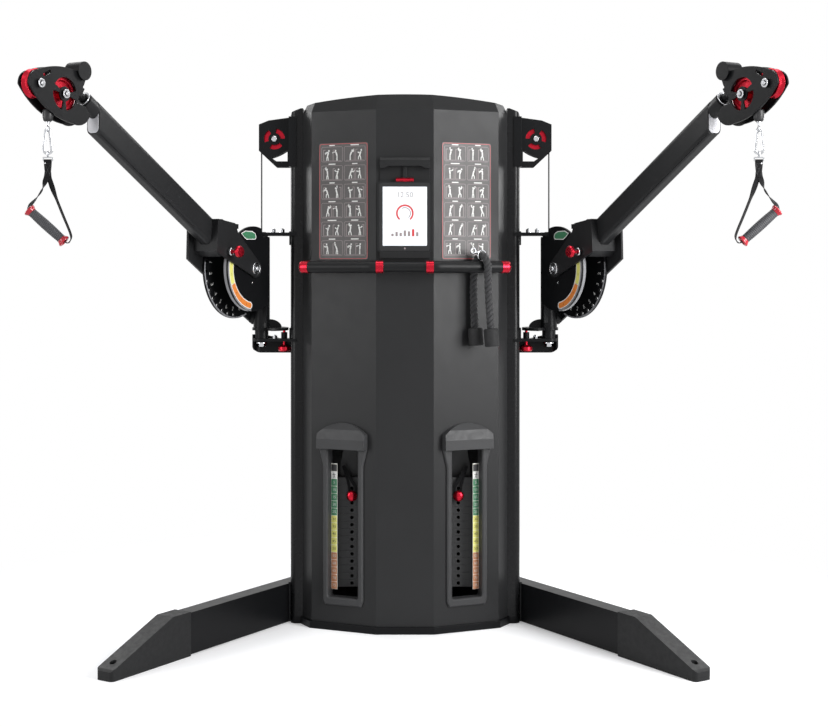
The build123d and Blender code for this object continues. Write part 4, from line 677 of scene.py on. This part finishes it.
# ---- triceps rope: strands laid round one route -----------------------------
ROPE_ROUTE = [
    (240, -202, 1040), (232, -193, 1164), (241.540, -191.772, 1288.5), (282.460, -251.028, 1288.5),
    (281, -252, 1164), (291, -256, 1040),
]


def read_line(route):
    """Points along the smooth line that a route of millimetre points draws."""
    curve = bpy.data.curves.new("route", "CURVE")
    curve.dimensions = "3D"
    curve.resolution_u = 24
    line = curve.splines.new("NURBS")
    line.points.add(len(route) - 1)
    for point, place in zip(line.points, route):
        point.co = (*(c * MM for c in place), 1)
    line.order_u = 3
    line.use_endpoint_u = True
    mesh = drawn(curve)
    points = [v.co.copy() for v in mesh.vertices]
    bpy.data.meshes.remove(mesh)
    return points


def even(points, step):
    """The same line with points a step apart, and its length."""
    lengths = [0.0]
    for a, b in zip(points, points[1:]):
        lengths.append(lengths[-1] + (b - a).length)
    total = lengths[-1]
    count = max(2, round(total / step))
    made, k = [], 0
    for i in range(count + 1):
        want = total * i / count
        while k < len(points) - 2 and lengths[k + 1] < want:
            k += 1
        share = (want - lengths[k]) / max(lengths[k + 1] - lengths[k], 1e-12)
        made.append(points[k].lerp(points[k + 1], share))
    return made, total


def carried_frames(points):
    """Tangent and two turning-free side directions at each point."""
    tangents = [(b - a).normalized() for a, b in zip(points[:-1], points[1:])]
    inner = [(a + b).normalized() for a, b in zip(tangents, tangents[1:])]
    tangents = [tangents[0]] + inner + [tangents[-1]]
    side = tangents[0].orthogonal().normalized()
    rows = []
    for tangent in tangents:
        side = (side - tangent * side.dot(tangent)).normalized()
        rows.append((tangent, side, tangent.cross(side)))
    return rows


STRANDS = 3
STRAND_R = 0.0070
STRAND_WIDE = 1.18    # a strand's width over its height, pressed by its neighbours
LAY_R = 0.0064        # from the rope's middle to a strand's
LAY_PITCH = 0.052
ROPE_STEP = 0.0035
STRAND_POINTS = 10


def make_rope():
    """Three-strand rope: each strand is a tube that winds round the route, joined to one mesh."""
    line, total = even(read_line(ROPE_ROUTE), ROPE_STEP)
    rows = carried_frames(line)
    sheet = Sheet()
    for strand in range(STRANDS):
        rings = []
        for i, (point, (tangent, side, other)) in enumerate(zip(line, rows)):
            turn = 2 * math.pi * (total * i / (len(line) - 1) / LAY_PITCH + strand / STRANDS)
            radial = side * math.cos(turn) + other * math.sin(turn)
            sideways = tangent.cross(radial)
            centre = point + radial * LAY_R
            ring = []
            for k in range(STRAND_POINTS):
                angle = 2 * math.pi * k / STRAND_POINTS
                away = radial * math.cos(angle) + sideways * math.sin(angle) * STRAND_WIDE
                ring.append(sheet.form.verts.new(centre + away * STRAND_R))
            rings.append(ring)
        skin(sheet.form, rings)
    rope = sheet.done("rope_strands", ROPE, "tower", "rope_black", smooth=True)
    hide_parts("triceps_rope")


make_rope()

# ---- exercise charts --------------------------------------------------------
CHART_FACE = 1.5
INK = 0.25
CHART_MID = (0, 1475)
BORDER_W, BORDER_H = 181, 396
BORDER_LINE = 2.6
COLUMNS = (-43.0, 43.0)
ROWS = 6
ROW_PITCH = 64.5
FIRST_ROW = 1637.0
CELL_W = 80.0
CELL_H = 52.0
CELL_LINE = 2.2
FIGURE_X = (-19, 17)
ARM_POSES = ((150, 20), (95, -40), (40, 70), (120, 40), (70, 50))
LEG_POSES = (6, 22, 38)


def figure(sheet, x, y, size, pose, *where):
    """A generic stick person; pose is the lean, then upper angle and bend of two arms and two legs."""
    def step(start, angle, length):
        turn = math.radians(angle)
        return (start[0] + length * size * math.sin(turn), start[1] - length * size * math.cos(turn))

    def limb(start, angle, length, width):
        end = step(start, angle, length)
        sheet.bar(start, end, width * size, *where)
        return end
    hip = (x, y)
    neck = limb(hip, 180 + pose[0], 13, 5.2)
    head = step(neck, 180 + pose[0] * 1.2, 5.2)
    sheet.prism([(head[0] + 3.1 * size * math.cos(t), head[1] + 3.4 * size * math.sin(t))
                 for t in (math.radians(45 * k) for k in range(8))], *where)
    for root, first, length, upper, lower in ((neck, 1, 7.5, 2.6, 2.3), (hip, 5, 8.5, 3.4, 2.8)):
        for angle, bend in (pose[first:first + 2], pose[first + 2:first + 4]):
            joint = limb(root, angle, length, upper)
            limb(joint, angle + bend, length, lower)


def make_charts():
    rng = random.Random(7)
    for side in SIDES:
        lines, ink, hot = Sheet(), Sheet(), Sheet()
        where = (CHART_FACE, CHART_FACE + INK, facet_place, side)
        hot.band(rounded(BORDER_W, BORDER_H, 8, CHART_MID),
                 rounded(BORDER_W - BORDER_LINE, BORDER_H - BORDER_LINE, 7, CHART_MID), *where)
        for row in range(ROWS):
            y = FIRST_ROW - ROW_PITCH * row
            for x in COLUMNS:
                lines.band(rounded(CELL_W, CELL_H, 5, (x, y)),
                           rounded(CELL_W - CELL_LINE, CELL_H - CELL_LINE, 4, (x, y)), *where)
                title = rng.uniform(20, 34)
                ink.prism(rounded(title, 3.4, 1.2, (x, y + CELL_H / 2 + 4.6), 2), *where)
                for k, shift in enumerate(FIGURE_X):
                    lean = rng.uniform(-24, 24)
                    arms = rng.choice(ARM_POSES)
                    legs = rng.choice(LEG_POSES)
                    flip = rng.choice((-1, 1))
                    pose = (lean, flip * arms[0], flip * arms[1],
                            flip * (arms[0] - 25 * k), flip * (arms[1] + 20),
                            flip * legs, -flip * legs, -flip * (legs * 0.6), flip * legs * 0.4)
                    figure(ink, x + shift, y - 5, 0.98, pose, *where)
                    post = x + shift + flip * 15
                    lines.bar((post, y - 21), (post, y + 15), 2.0, *where)
                    lines.bar((post, y + 15), (post - flip * 7, y + 15), 2.0, *where)
                lines.bar((x - 34, y - 22), (x + 34, y - 22), 1.2, *where)
        lines.done(f"{side}_chart_lines", GREY, "tower", "chart_print")
        ink.done(f"{side}_chart_figures", WHITE, "tower", "chart_print")
        hot.done(f"{side}_chart_border", RED_INK, "tower", "chart_print")


make_charts()

# ---- weight number strips ---------------------------------------------------
STRIP_FACE = -20.0
STRIP_A = 45.0
STRIP_W = 21.5
PLATE_PITCH = 25.4
CELL_GAP = 1.2
STACK_BASE = 136.0
PLATES = 15
WEIGHT_STEP = 5
CELLS = ["copper"] * 5 + ["yellow"] * 5 + ["green"] * 5 + ["white", "dark"]    # from the lowest plate up
CELL_FIGURE = (-8, 40, 60, -60, -30, 28, -20, -30, 10)


def make_strips():
    inks = {"white": WHITE, "green": GREEN, "yellow": YELLOW, "copper": COPPER, "dark": DARK_INK_AND_SHADE}
    bands = {name: Sheet() for name in inks}
    digits, pale = Sheet(), Sheet()
    low, high = STRIP_FACE, STRIP_FACE + INK
    for side in SIDES:
        for row, name in enumerate(CELLS):
            b = STACK_BASE + PLATE_PITCH * (row + 0.5)
            cell = rounded(STRIP_W, PLATE_PITCH - CELL_GAP, 1.5, (STRIP_A, b), 2)
            bands[name].prism(cell, low, high, facet_place, side)
            if row < PLATES:
                sheet = digits if name == "yellow" else pale
                weight = str(WEIGHT_STEP * (PLATES - row))
                numeral(sheet, weight, 13.5, facet_place, STRIP_A, b, high + 0.05, side=side)
        b = STACK_BASE + PLATE_PITCH * (PLATES + 0.5)
        figure(digits, STRIP_A, b - 3, 0.52, CELL_FIGURE, high, high + 0.2, facet_place, side)
    for name, sheet in bands.items():
        sheet.done(f"strip_{name}", inks[name], "tower", "label_print")
    digits.done("strip_numbers", DARK_INK_AND_SHADE, "tower", "label_print")
    pale.done("strip_pale_numbers", PALE_INK, "tower", "label_print")


make_strips()

# ---- swivel plates: angle bands, tags and hole numbers ----------------------
FRONT_FACE = 43.0
SECTOR_FRONT = -37.0
PRINT = 0.2           # thickness of a printed layer
BAND_R = 128.5
BAND_NUMBERS = 6
NUMBER_R = 141.0
HOLE_NUMBERS = 8
NUMBER_STEP = 15.5
TAG = [(-14, 112), (-9, 122.5), (9, 130), (51, 131), (73, 121.5), (60, 110), (42, 100), (-8, 101.5),
       (-13, 106)]
TAG_MID = (sum(a for a, _ in TAG) / len(TAG), sum(b for _, b in TAG) / len(TAG))


def make_swivel_prints(side):
    body = f"{side}_swivel"
    white, yellow, orange, green, digits = Sheet(), Sheet(), Sheet(), Sheet(), Sheet()
    first = (FRONT_FACE, FRONT_FACE + PRINT, swing_place, side)
    second = (FRONT_FACE + PRINT, FRONT_FACE + 2 * PRINT, swing_place, side)
    white.prism(lozenge_arc(BAND_R, 12.5, 15.5, -80), *first)
    yellow.prism(arc_outline(BAND_R - 9.5, BAND_R + 9.5, 15, -23, 20), *second)
    orange.prism(lozenge_arc(BAND_R, 9.5, -24, -79.5, start_round=False), *second)
    white.prism(TAG, *first)
    green.prism([(TAG_MID[0] + (a - TAG_MID[0]) * 0.90, TAG_MID[1] + (b - TAG_MID[1]) * 0.82)
                 for a, b in TAG], *second)
    # lip and sector edge: lighter grey rims painted as highlights on the black plates
    for name, arc, low, high, bevel in (
        ("swivel_lip", (141.5, 146.9, 16, -84, 30), 24.0, FRONT_FACE + 0.3, 0.0008),
        ("sector_edge", (167.5, 172.9, 8, -112, 36), SECTOR_FRONT - 0.1, SECTOR_FRONT + 0.5, 0.0002),
    ):
        rim = Sheet()
        rim.prism(arc_outline(*arc), low, high, swing_place, side)
        rim.done(f"{side}_{name}", RIM_HIGHLIGHT, body, "frame_black", bevel=bevel)
    for k in range(BAND_NUMBERS):
        spot = polar(BAND_R, 7 - NUMBER_STEP * k)
        numeral(digits, str(k + 1), 10, swing_place, *spot, FRONT_FACE + 0.45, side=side)
    for sheet, ink, name in ((white, WHITE, "white"), (yellow, YELLOW, "yellow"),
                             (orange, ORANGE, "orange"), (green, GREEN, "green"),
                             (digits, DARK_INK_AND_SHADE, "numbers")):
        sheet.done(f"{side}_swivel_{name}", ink, body, "label_print")
    holes = Sheet()
    for k in range(HOLE_NUMBERS):
        angle = 9 - NUMBER_STEP * k
        spot = polar(NUMBER_R, angle)
        numeral(holes, str(k + 1), 21, swing_place, *spot, SECTOR_FRONT + 0.15, angle + 90, side)
    holes.done(f"{side}_sector_numbers", WHITE, body, "label_print")


for side in SIDES:
    make_swivel_prints(side)

# ---- tablet face ------------------------------------------------------------
TABLET_FACE = 20.0
TABLET_MID = 1419.0
SCREEN_FACE = TABLET_FACE + 0.12
BARS = (9, 15, 12, 20, 17, 24, 14)
RED_BAR = 5


def make_tablet():
    glass, grey, warm, ink = Sheet(), Sheet(), Sheet(), Sheet()
    dial = Place((0, FRONT_Y, TABLET_MID + 12), (1, 0, 0), UP)
    button = Place((0, FRONT_Y, TABLET_MID - 107), (1, 0, 0), UP)
    drawn_at = (SCREEN_FACE, SCREEN_FACE + 0.08)
    glass.prism(rounded(150, 200, 2, (0, TABLET_MID + 2)), TABLET_FACE - 0.02, SCREEN_FACE, front_place)
    numeral(grey, "12:50", 26, front_place, 0, TABLET_MID + 74, SCREEN_FACE + 0.03)
    grey.bar((-18, TABLET_MID + 57), (18, TABLET_MID + 57), 1.4, *drawn_at, front_place)
    warm.prism(arc_outline(24, 30, -50, 230, 36), *drawn_at, dial)
    grey.prism(arc_outline(17.5, 20.5, -50, 120, 28), *drawn_at, dial)
    for k, height in enumerate(BARS):
        sheet = warm if k == RED_BAR else grey
        middle = (-42 + 14 * k, TABLET_MID - 66 + height / 2)
        sheet.prism(rounded(8, height, 1.2, middle, 2), *drawn_at, front_place)
    ink.prism([polar(3.2, 22.5 * k) for k in range(16)], TABLET_FACE, TABLET_FACE + 0.1, button)
    glass.done("tablet_screen", SCREEN, "tower", "screen")
    grey.done("screen_grey", GREY, "tower", "screen")
    warm.done("screen_red", RED_INK, "tower", "screen")
    ink.done("tablet_button", GREY, "tower", "screen")


make_tablet()

# ---- handle: ribbed grips, turned stops, stitched straps --------------------
GRIP_SHIFT, GRIP_DROP = 3.0, -388.0
GRIP_HALF = 57.5
GRIP_ROWS = 84
RIB_DEPTH = 0.8
TILT = math.radians(42)
GATE_MID = -141.7
GATE_OUT = 11.9
RING_BAR_Z = -198.7
STRAP_HALF = 1.15
STRAP_STEP = 0.004
SECTION = ((1, 0.55), (0.94, 1), (-0.94, 1), (-1, 0.55), (-1, -0.55), (-0.94, -1), (0.94, -1), (1, -0.55))
CAP_PROFILE = [(9.2, 57.4), (13.6, 57.4), (14.3, 58.6), (14.9, 61.0), (16.6, 63.6), (18.0, 65.4),
               (18.4, 67.2), (18.2, 69.2), (17.0, 70.6), (14.8, 70.9), (12.0, 70.2), (10.0, 69.0),
               (9.2, 68.4), (9.2, 57.4)]
STOP_PROFILE = [(0, -47.1), (8.0, -47.1), (12.0, -48.2), (14.9, -50.8), (15.9, -54.5), (15.9, -66),
                (15.4, -73), (14.0, -79), (11.9, -82.8), (8.6, -84.7), (5.2, -84.9), (5.2, -80.0),
                (0, -80.0)]
COLLAR_PROFILE = [(0, -84.6), (6.6, -84.6), (7.0, -85.4), (6.6, -88.4), (4.6, -90.0), (0, -90.0)]
GATE_PROFILE = [(0, -17), (2.6, -17), (3.0, -15.5), (3.0, 13.5), (2.4, 15.5), (0, 15.5)]
RIVET_PROFILE = [(0, 2.6), (2.6, 2.6), (2.4, 3.4), (1.4, 4.1), (0, 4.3)]
RIVET_AT = (7.2, -206)
WRAP_PROFILE = [(2.3, -11), (4.4, -11), (4.4, 11), (2.3, 11), (2.3, -11)]
TAB = [(-11, -200), (11, -200), (10.6, -212), (8.6, -232), (7.4, -244), (6.6, -247), (-6.6, -247),
       (-7.4, -244), (-8.6, -232), (-10.6, -212)]
# each leg of the strap: its route, then tables of (share of the way, turn) and (share, width)
UPPER_LEG = (((3.4, -232), (3.6, -246), (9, -262), (17, -286), (36, -312), (52, -328), (60, -336.5),
              (56.5, -341), (46, -349.3)),
             ((0, 0), (0.1, 6), (0.42, 88), (0.78, 52), (0.93, 90), (1, 90)),
             ((0, 13), (0.3, 20), (0.78, 20), (0.93, 16.5), (1, 16)))
LOWER_LEG = (((-3.4, -232), (-3.6, -246), (-8, -262), (-22, -302), (-46, -362), (-64, -404), (-70, -424),
              (-60, -440.5), (-50, -435.7), (-40, -426.7)),
             ((0, 0), (0.08, 8), (0.36, 60), (0.8, 62), (0.92, 90), (1, 90)),
             ((0, 13), (0.3, 20), (0.84, 20), (0.95, 16.5), (1, 16)))


def hung(a, b):
    """Point beside the cable's hanging line: outward and up."""
    return hang_place.origin + Vector((a, 0, b))


def make_grip(side):
    body = f"{side}_handle"
    along = Vector((math.cos(TILT), 0, math.sin(TILT)))
    place = Place(hung(GRIP_SHIFT, GRIP_DROP), Vector((0, 1, 0)), along.cross(Vector((0, 1, 0))))
    profile = [(9.0, -GRIP_HALF - 1), (12.6, -GRIP_HALF - 1)]
    for k in range(GRIP_ROWS + 1):
        share = k / GRIP_ROWS
        belly = 12.9 + 1.95 * math.sin(math.pi * share) ** 0.8
        groove = RIB_DEPTH if k % 4 in (1, 2) and 3 < k < GRIP_ROWS - 3 else 0.0
        profile.append((belly - groove, -GRIP_HALF + 2 * GRIP_HALF * share))
    profile += [(12.6, GRIP_HALF + 1), (9.0, GRIP_HALF + 1), profile[0]]
    grip = turned(profile, place, side=side)
    made = grip.done(f"{side}_grip_rubber", GRIP, body, "rubber_black", smooth=True)
    for end, name in ((-1, "low"), (1, "high")):
        cap = turned([(r, end * level) for r, level in CAP_PROFILE], place, side=side, segments=56)
        cap.done(f"{side}_grip_cap_{name}", GLOSS_RED, body, "red_metal", smooth=True)
    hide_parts(f"{side}_handle_grip")


def make_stop(side):
    body = f"{side}_handle"
    place = Place(hang_place.origin, (1, 0, 0), (0, 1, 0))
    ball = turned(STOP_PROFILE, place, side=side)
    made = ball.done(f"{side}_stop_ball", BALL, body, "plastic_black", smooth=True)
    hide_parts(f"{side}_cable_stop")
    collar = turned(COLLAR_PROFILE, place, side=side, segments=32)
    collar.done(f"{side}_stop_collar", CHROME, body, "chrome", smooth=True)


def make_gate(side):
    """Sprung gate on the hook's outer side."""
    place = Place(hung(0, GATE_MID), (1, 0, 0), (0, 1, 0))
    gate = turned(GATE_PROFILE, place, (GATE_OUT, 0), side, 20)
    gate.done(f"{side}_hook_gate", CHROME, f"{side}_handle", "chrome", smooth=True)


def between(table, share):
    """Smooth value from a table of (share, value)."""
    for (s0, v0), (s1, v1) in zip(table, table[1:]):
        if share <= s1:
            t = (share - s0) / (s1 - s0)
            return v0 + (v1 - v0) * t * t * (3 - 2 * t)
    return table[-1][1]


def headings(line):
    """Direction of the line at each of its points."""
    last = len(line) - 1
    return [(line[min(k + 1, last)] - line[max(k - 1, 0)]).normalized() for k in range(last + 1)]


def strap_leg(form, route, turns, widths, side):
    """Webbing along a route; its width direction turns from sideways to front-to-back."""
    line, _ = even(read_line([hung(a, b) for a, b in route]), STRAP_STEP)
    depth = Vector((0, 1, 0))
    rings = []
    for k, (point, run) in enumerate(zip(line, headings(line))):
        share = k / (len(line) - 1)
        flat = run.cross(depth).normalized()
        angle = math.radians(between(turns, share))
        wide = (flat * math.cos(angle) + depth * math.sin(angle)) * (between(widths, share) * MM / 2)
        thin = run.cross(wide).normalized() * (STRAP_HALF * MM)
        ring = []
        for i, j in SECTION:
            corner = point + wide * i + thin * j
            if side == "left":
                corner.x = -corner.x
            ring.append(form.verts.new(corner))
        rings.append(ring)
    skin(form, rings)


def make_strap(side):
    body = f"{side}_handle"
    strap = Sheet()
    strap.prism(TAB, -2.7, 2.7, hang_place, side)
    ring_bar = Place(hung(0, RING_BAR_Z), (0, 1, 0), UP)
    wrap = turned(WRAP_PROFILE, ring_bar, side=side, segments=24)
    strap.take(wrap.part())
    strap_leg(strap.form, *UPPER_LEG, side)
    strap_leg(strap.form, *LOWER_LEG, side)
    made = strap.done(f"{side}_strap_web", WEBBING, body, "strap_web", bevel=0.0003)
    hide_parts(f"{side}_handle_strap")
    thread = Sheet()
    for flip in (1, -1):
        stitch = (flip * 2.6, flip * 2.95, hang_place, side)
        for k in range(9):    # both long edges
            for sign in (-1, 1):
                spot = (sign * (8.6 - 0.22 * k), -209.5 - 4.0 * k)
                thread.prism(rounded(0.7, 2.7, 0.3, spot, 2), *stitch)
        for k in range(8):    # the cross
            for slope in (1, -1):
                a, b = slope * (-6.6 + 1.75 * k), -212 - 3.6 * k
                thread.prism([(a - 0.35, b), (a + 0.35, b), (a + 0.35 + 1.2 * slope, b - 2.4),
                              (a - 0.35 + 1.2 * slope, b - 2.4)], flip * 2.6, flip * 2.92, hang_place, side)
        for k in range(7):    # the short edge
            thread.prism(rounded(1.7, 0.7, 0.3, (-7.5 + 2.5 * k, -207.5), 2), *stitch)
    thread.done(f"{side}_strap_thread", THREAD, body, "strap_web")
    rivet = turned(RIVET_PROFILE, hang_place, RIVET_AT, side, 20)
    rivet.done(f"{side}_strap_rivet", CHROME, body, "chrome", smooth=True)


for side in SIDES:
    make_grip(side)
    make_stop(side)
    make_gate(side)
    make_strap(side)

# ---- lanyard of each selector pin -------------------------------------------
LANYARD_STEP = 0.006
LANYARD_THICK = 1.8
# name, width, width direction, and a route from the knob: outward, back, up
LANYARDS = (
    ("pin_lanyard", 11, (0.86, -0.1, -0.5), ((-11, 17, 4), (-19, 13, 22), (6, 12, 62), (29, 20, 104))),
    ("pin_lanyard_back", 8, (0.86, -0.1, -0.3), ((8, 17, 10), (9, 15, 32), (18, 15, 66), (31, 21, 104))),
)


def make_lanyards(side):
    """Two flat straps from the selector pin's knob up into the window."""
    flip = 1 if side == "right" else -1
    low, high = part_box(f"{side}_selector_pin")
    knob_x, front, knob_z = (low.x + high.x) / 2 / MM, low.y / MM, (low.z + high.z) / 2 / MM
    for name, width, direction, route in LANYARDS:
        points = [(knob_x + flip * a, front + b, knob_z + c) for a, b, c in route]
        line, _ = even(read_line(points), LANYARD_STEP)
        wide = Vector((flip * direction[0], *direction[1:])).normalized() * (width * MM / 2)
        strap = Sheet()
        rings = []
        for point, run in zip(line, headings(line)):
            normal = run.cross(wide).normalized() * (LANYARD_THICK * MM / 2)
            rings.append([strap.form.verts.new(point + wide * i + normal * j)
                          for i, j in ((1, 1), (-1, 1), (-1, -1), (1, -1))])
        skin(strap.form, rings)
        strap.done(f"{side}_{name}", WEBBING, f"{side}_selector", "strap_web", bevel=0.0004)


for side in SIDES:
    make_lanyards(side)

# ---- bolts, seats, collars and the pivot ------------------------------------
HEAD_FACE = 28.0
HEAD_AXLES = ((0, 0), (101, 21))
HEAD_BOLT = 10.5
WASHER = [(0.80, 0), (1.28, 0), (1.30, 0.6), (1.22, 1.6), (0.80, 1.6), (0.80, 0)]    # radius in bolt sizes
# painted shade: a dark disc that fills the gap between washer and nut
WASHER_GAP_SHADE = [(0, 0.1), (0.84, 0.1), (0.84, 0.8), (0, 0.8)]
COLLAR_AT = 944
LINER_PROFILE = [(18.5, 6.4), (23.6, 6.4), (24.4, 7.2), (24.4, 8.6), (23.4, 9.4), (19.6, 9.4), (18.5, 8.4),
                 (18.5, 6.4)]
# painted shade: a dark ring standing for the shaded inside of the collar's mouth
MOUTH_SHADE = [(13.1, 6.4), (18.6, 6.4), (18.6, 7.0), (13.1, 7.0), (13.1, 6.4)]
TUBE_END_AT = 886.2
PIVOT_RING = [(17.2, 52.9), (21.8, 52.9), (22.4, 54.0), (21.6, 56.6), (19.4, 57.4), (17.4, 56.6),
              (17.2, 52.9)]
# painted shade: a dark ring in the gap between the pivot's chrome ring and nut
PIVOT_GAP_SHADE = [(11.6, 54.9), (17.0, 54.9), (17.0, 55.4), (11.6, 55.4), (11.6, 54.9)]
PIVOT_NUT = [(0, 60.6), (7.6, 60.6), (7.2, 62.6), (5.4, 64.4), (0, 65.2)]
FLAT_BOLT = [(0, 43.0), (4.8, 43.0), (4.6, 43.7), (3.8, 44.1), (0, 44.2)]
FLAT_BOLT_AT = (7, -48)
BARREL = [(12.1, 53.0), (13.4, 53.0), (13.4, 62.5), (12.6, 64.3), (6.8, 64.3), (6.8, 64.9), (13.0, 64.9),
          (14.0, 63.4), (14.0, 52.8), (12.1, 52.8), (12.1, 53.0)]


def bolt_cap(chrome, dark, centre, sign, side):
    """Chrome washer, a dark disc of painted shade in the gap round the nut, and six-sided nut on one face
    of the pulley head.
    """
    level, size = sign * HEAD_FACE, HEAD_BOLT
    for profile, sheet in ((WASHER, chrome), (WASHER_GAP_SHADE, dark)):
        lathe = [(size * r, level + sign * z) for r, z in profile]
        sheet.take(turned(lathe, head_place, centre, side, 32).part())
    for radius, low, high, start, count in ((0.62, 0.8, 4.6, 15, 6), (0.36, 4.6, 5.8, 0, 16)):
        outline = [polar(size * radius, 360 * k / count + start, centre) for k in range(count)]
        chrome.prism(outline, level + sign * low, level + sign * high, head_place, side)


def make_head_dressing(side):
    body = f"{side}_head"
    chrome, dark = Sheet(), Sheet()
    for centre in HEAD_AXLES:
        for sign in (1, -1):
            bolt_cap(chrome, dark, centre, sign, side)
    chrome.done(f"{side}_head_bolts", CHROME, body, "chrome", bevel=0.0005)
    # the dark discs are painted shade in the washer gaps
    dark.done(f"{side}_head_bolt_gap_shade", DARK_INK_AND_SHADE, body, "frame_black")
    mouth = Place(PIVOT + ARM * COLLAR_AT + ARM_UP * CABLE_RISE, ARM_UP, swing_place.z)
    liner = turned(LINER_PROFILE, mouth, side=side)
    liner.done(f"{side}_collar_liner", CHROME, body, "chrome", smooth=True)
    # painted shade inside the collar's mouth
    shade = turned(MOUTH_SHADE, mouth, side=side, segments=40)
    shade.done(f"{side}_collar_mouth_shade", DARK_INK_AND_SHADE, body, "frame_black")
    plug = Sheet()
    tube_end = Place(PIVOT + ARM * TUBE_END_AT, -swing_place.z, UP)
    # the plug's grey is a painted highlight of the lit end face
    plug.prism(rounded(43, 91, 15, steps=8), 0.05, 1.6, tube_end, side)
    plug.done(f"{side}_arm_plug", END_CAP_HIGHLIGHT, f"{side}_arm", "plastic_black", bevel=0.0007, segments=3)


def make_pivot_dressing(side):
    body = f"{side}_swivel"
    chrome, dark = Sheet(), Sheet()
    for sheet, profile, centre in ((chrome, PIVOT_RING, (0, 0)), (dark, PIVOT_GAP_SHADE, (0, 0)),
                                   (chrome, PIVOT_NUT, (0, 0)), (chrome, FLAT_BOLT, FLAT_BOLT_AT)):
        sheet.take(turned(profile, swing_place, centre, side, 40).part())
    chrome.done(f"{side}_pivot_chrome", CHROME, body, "chrome", bevel=0.0004)
    # the dark ring is painted shade in the pivot's gap
    dark.done(f"{side}_pivot_gap_shade", DARK_INK_AND_SHADE, body, "frame_black")
    barrel = turned(BARREL, arm_place, polar(160, -10), side, 40)
    barrel.done(f"{side}_lock_barrel", CHROME, f"{side}_arm", "chrome", smooth=True)


for side in SIDES:
    make_head_dressing(side)
    make_pivot_dressing(side)
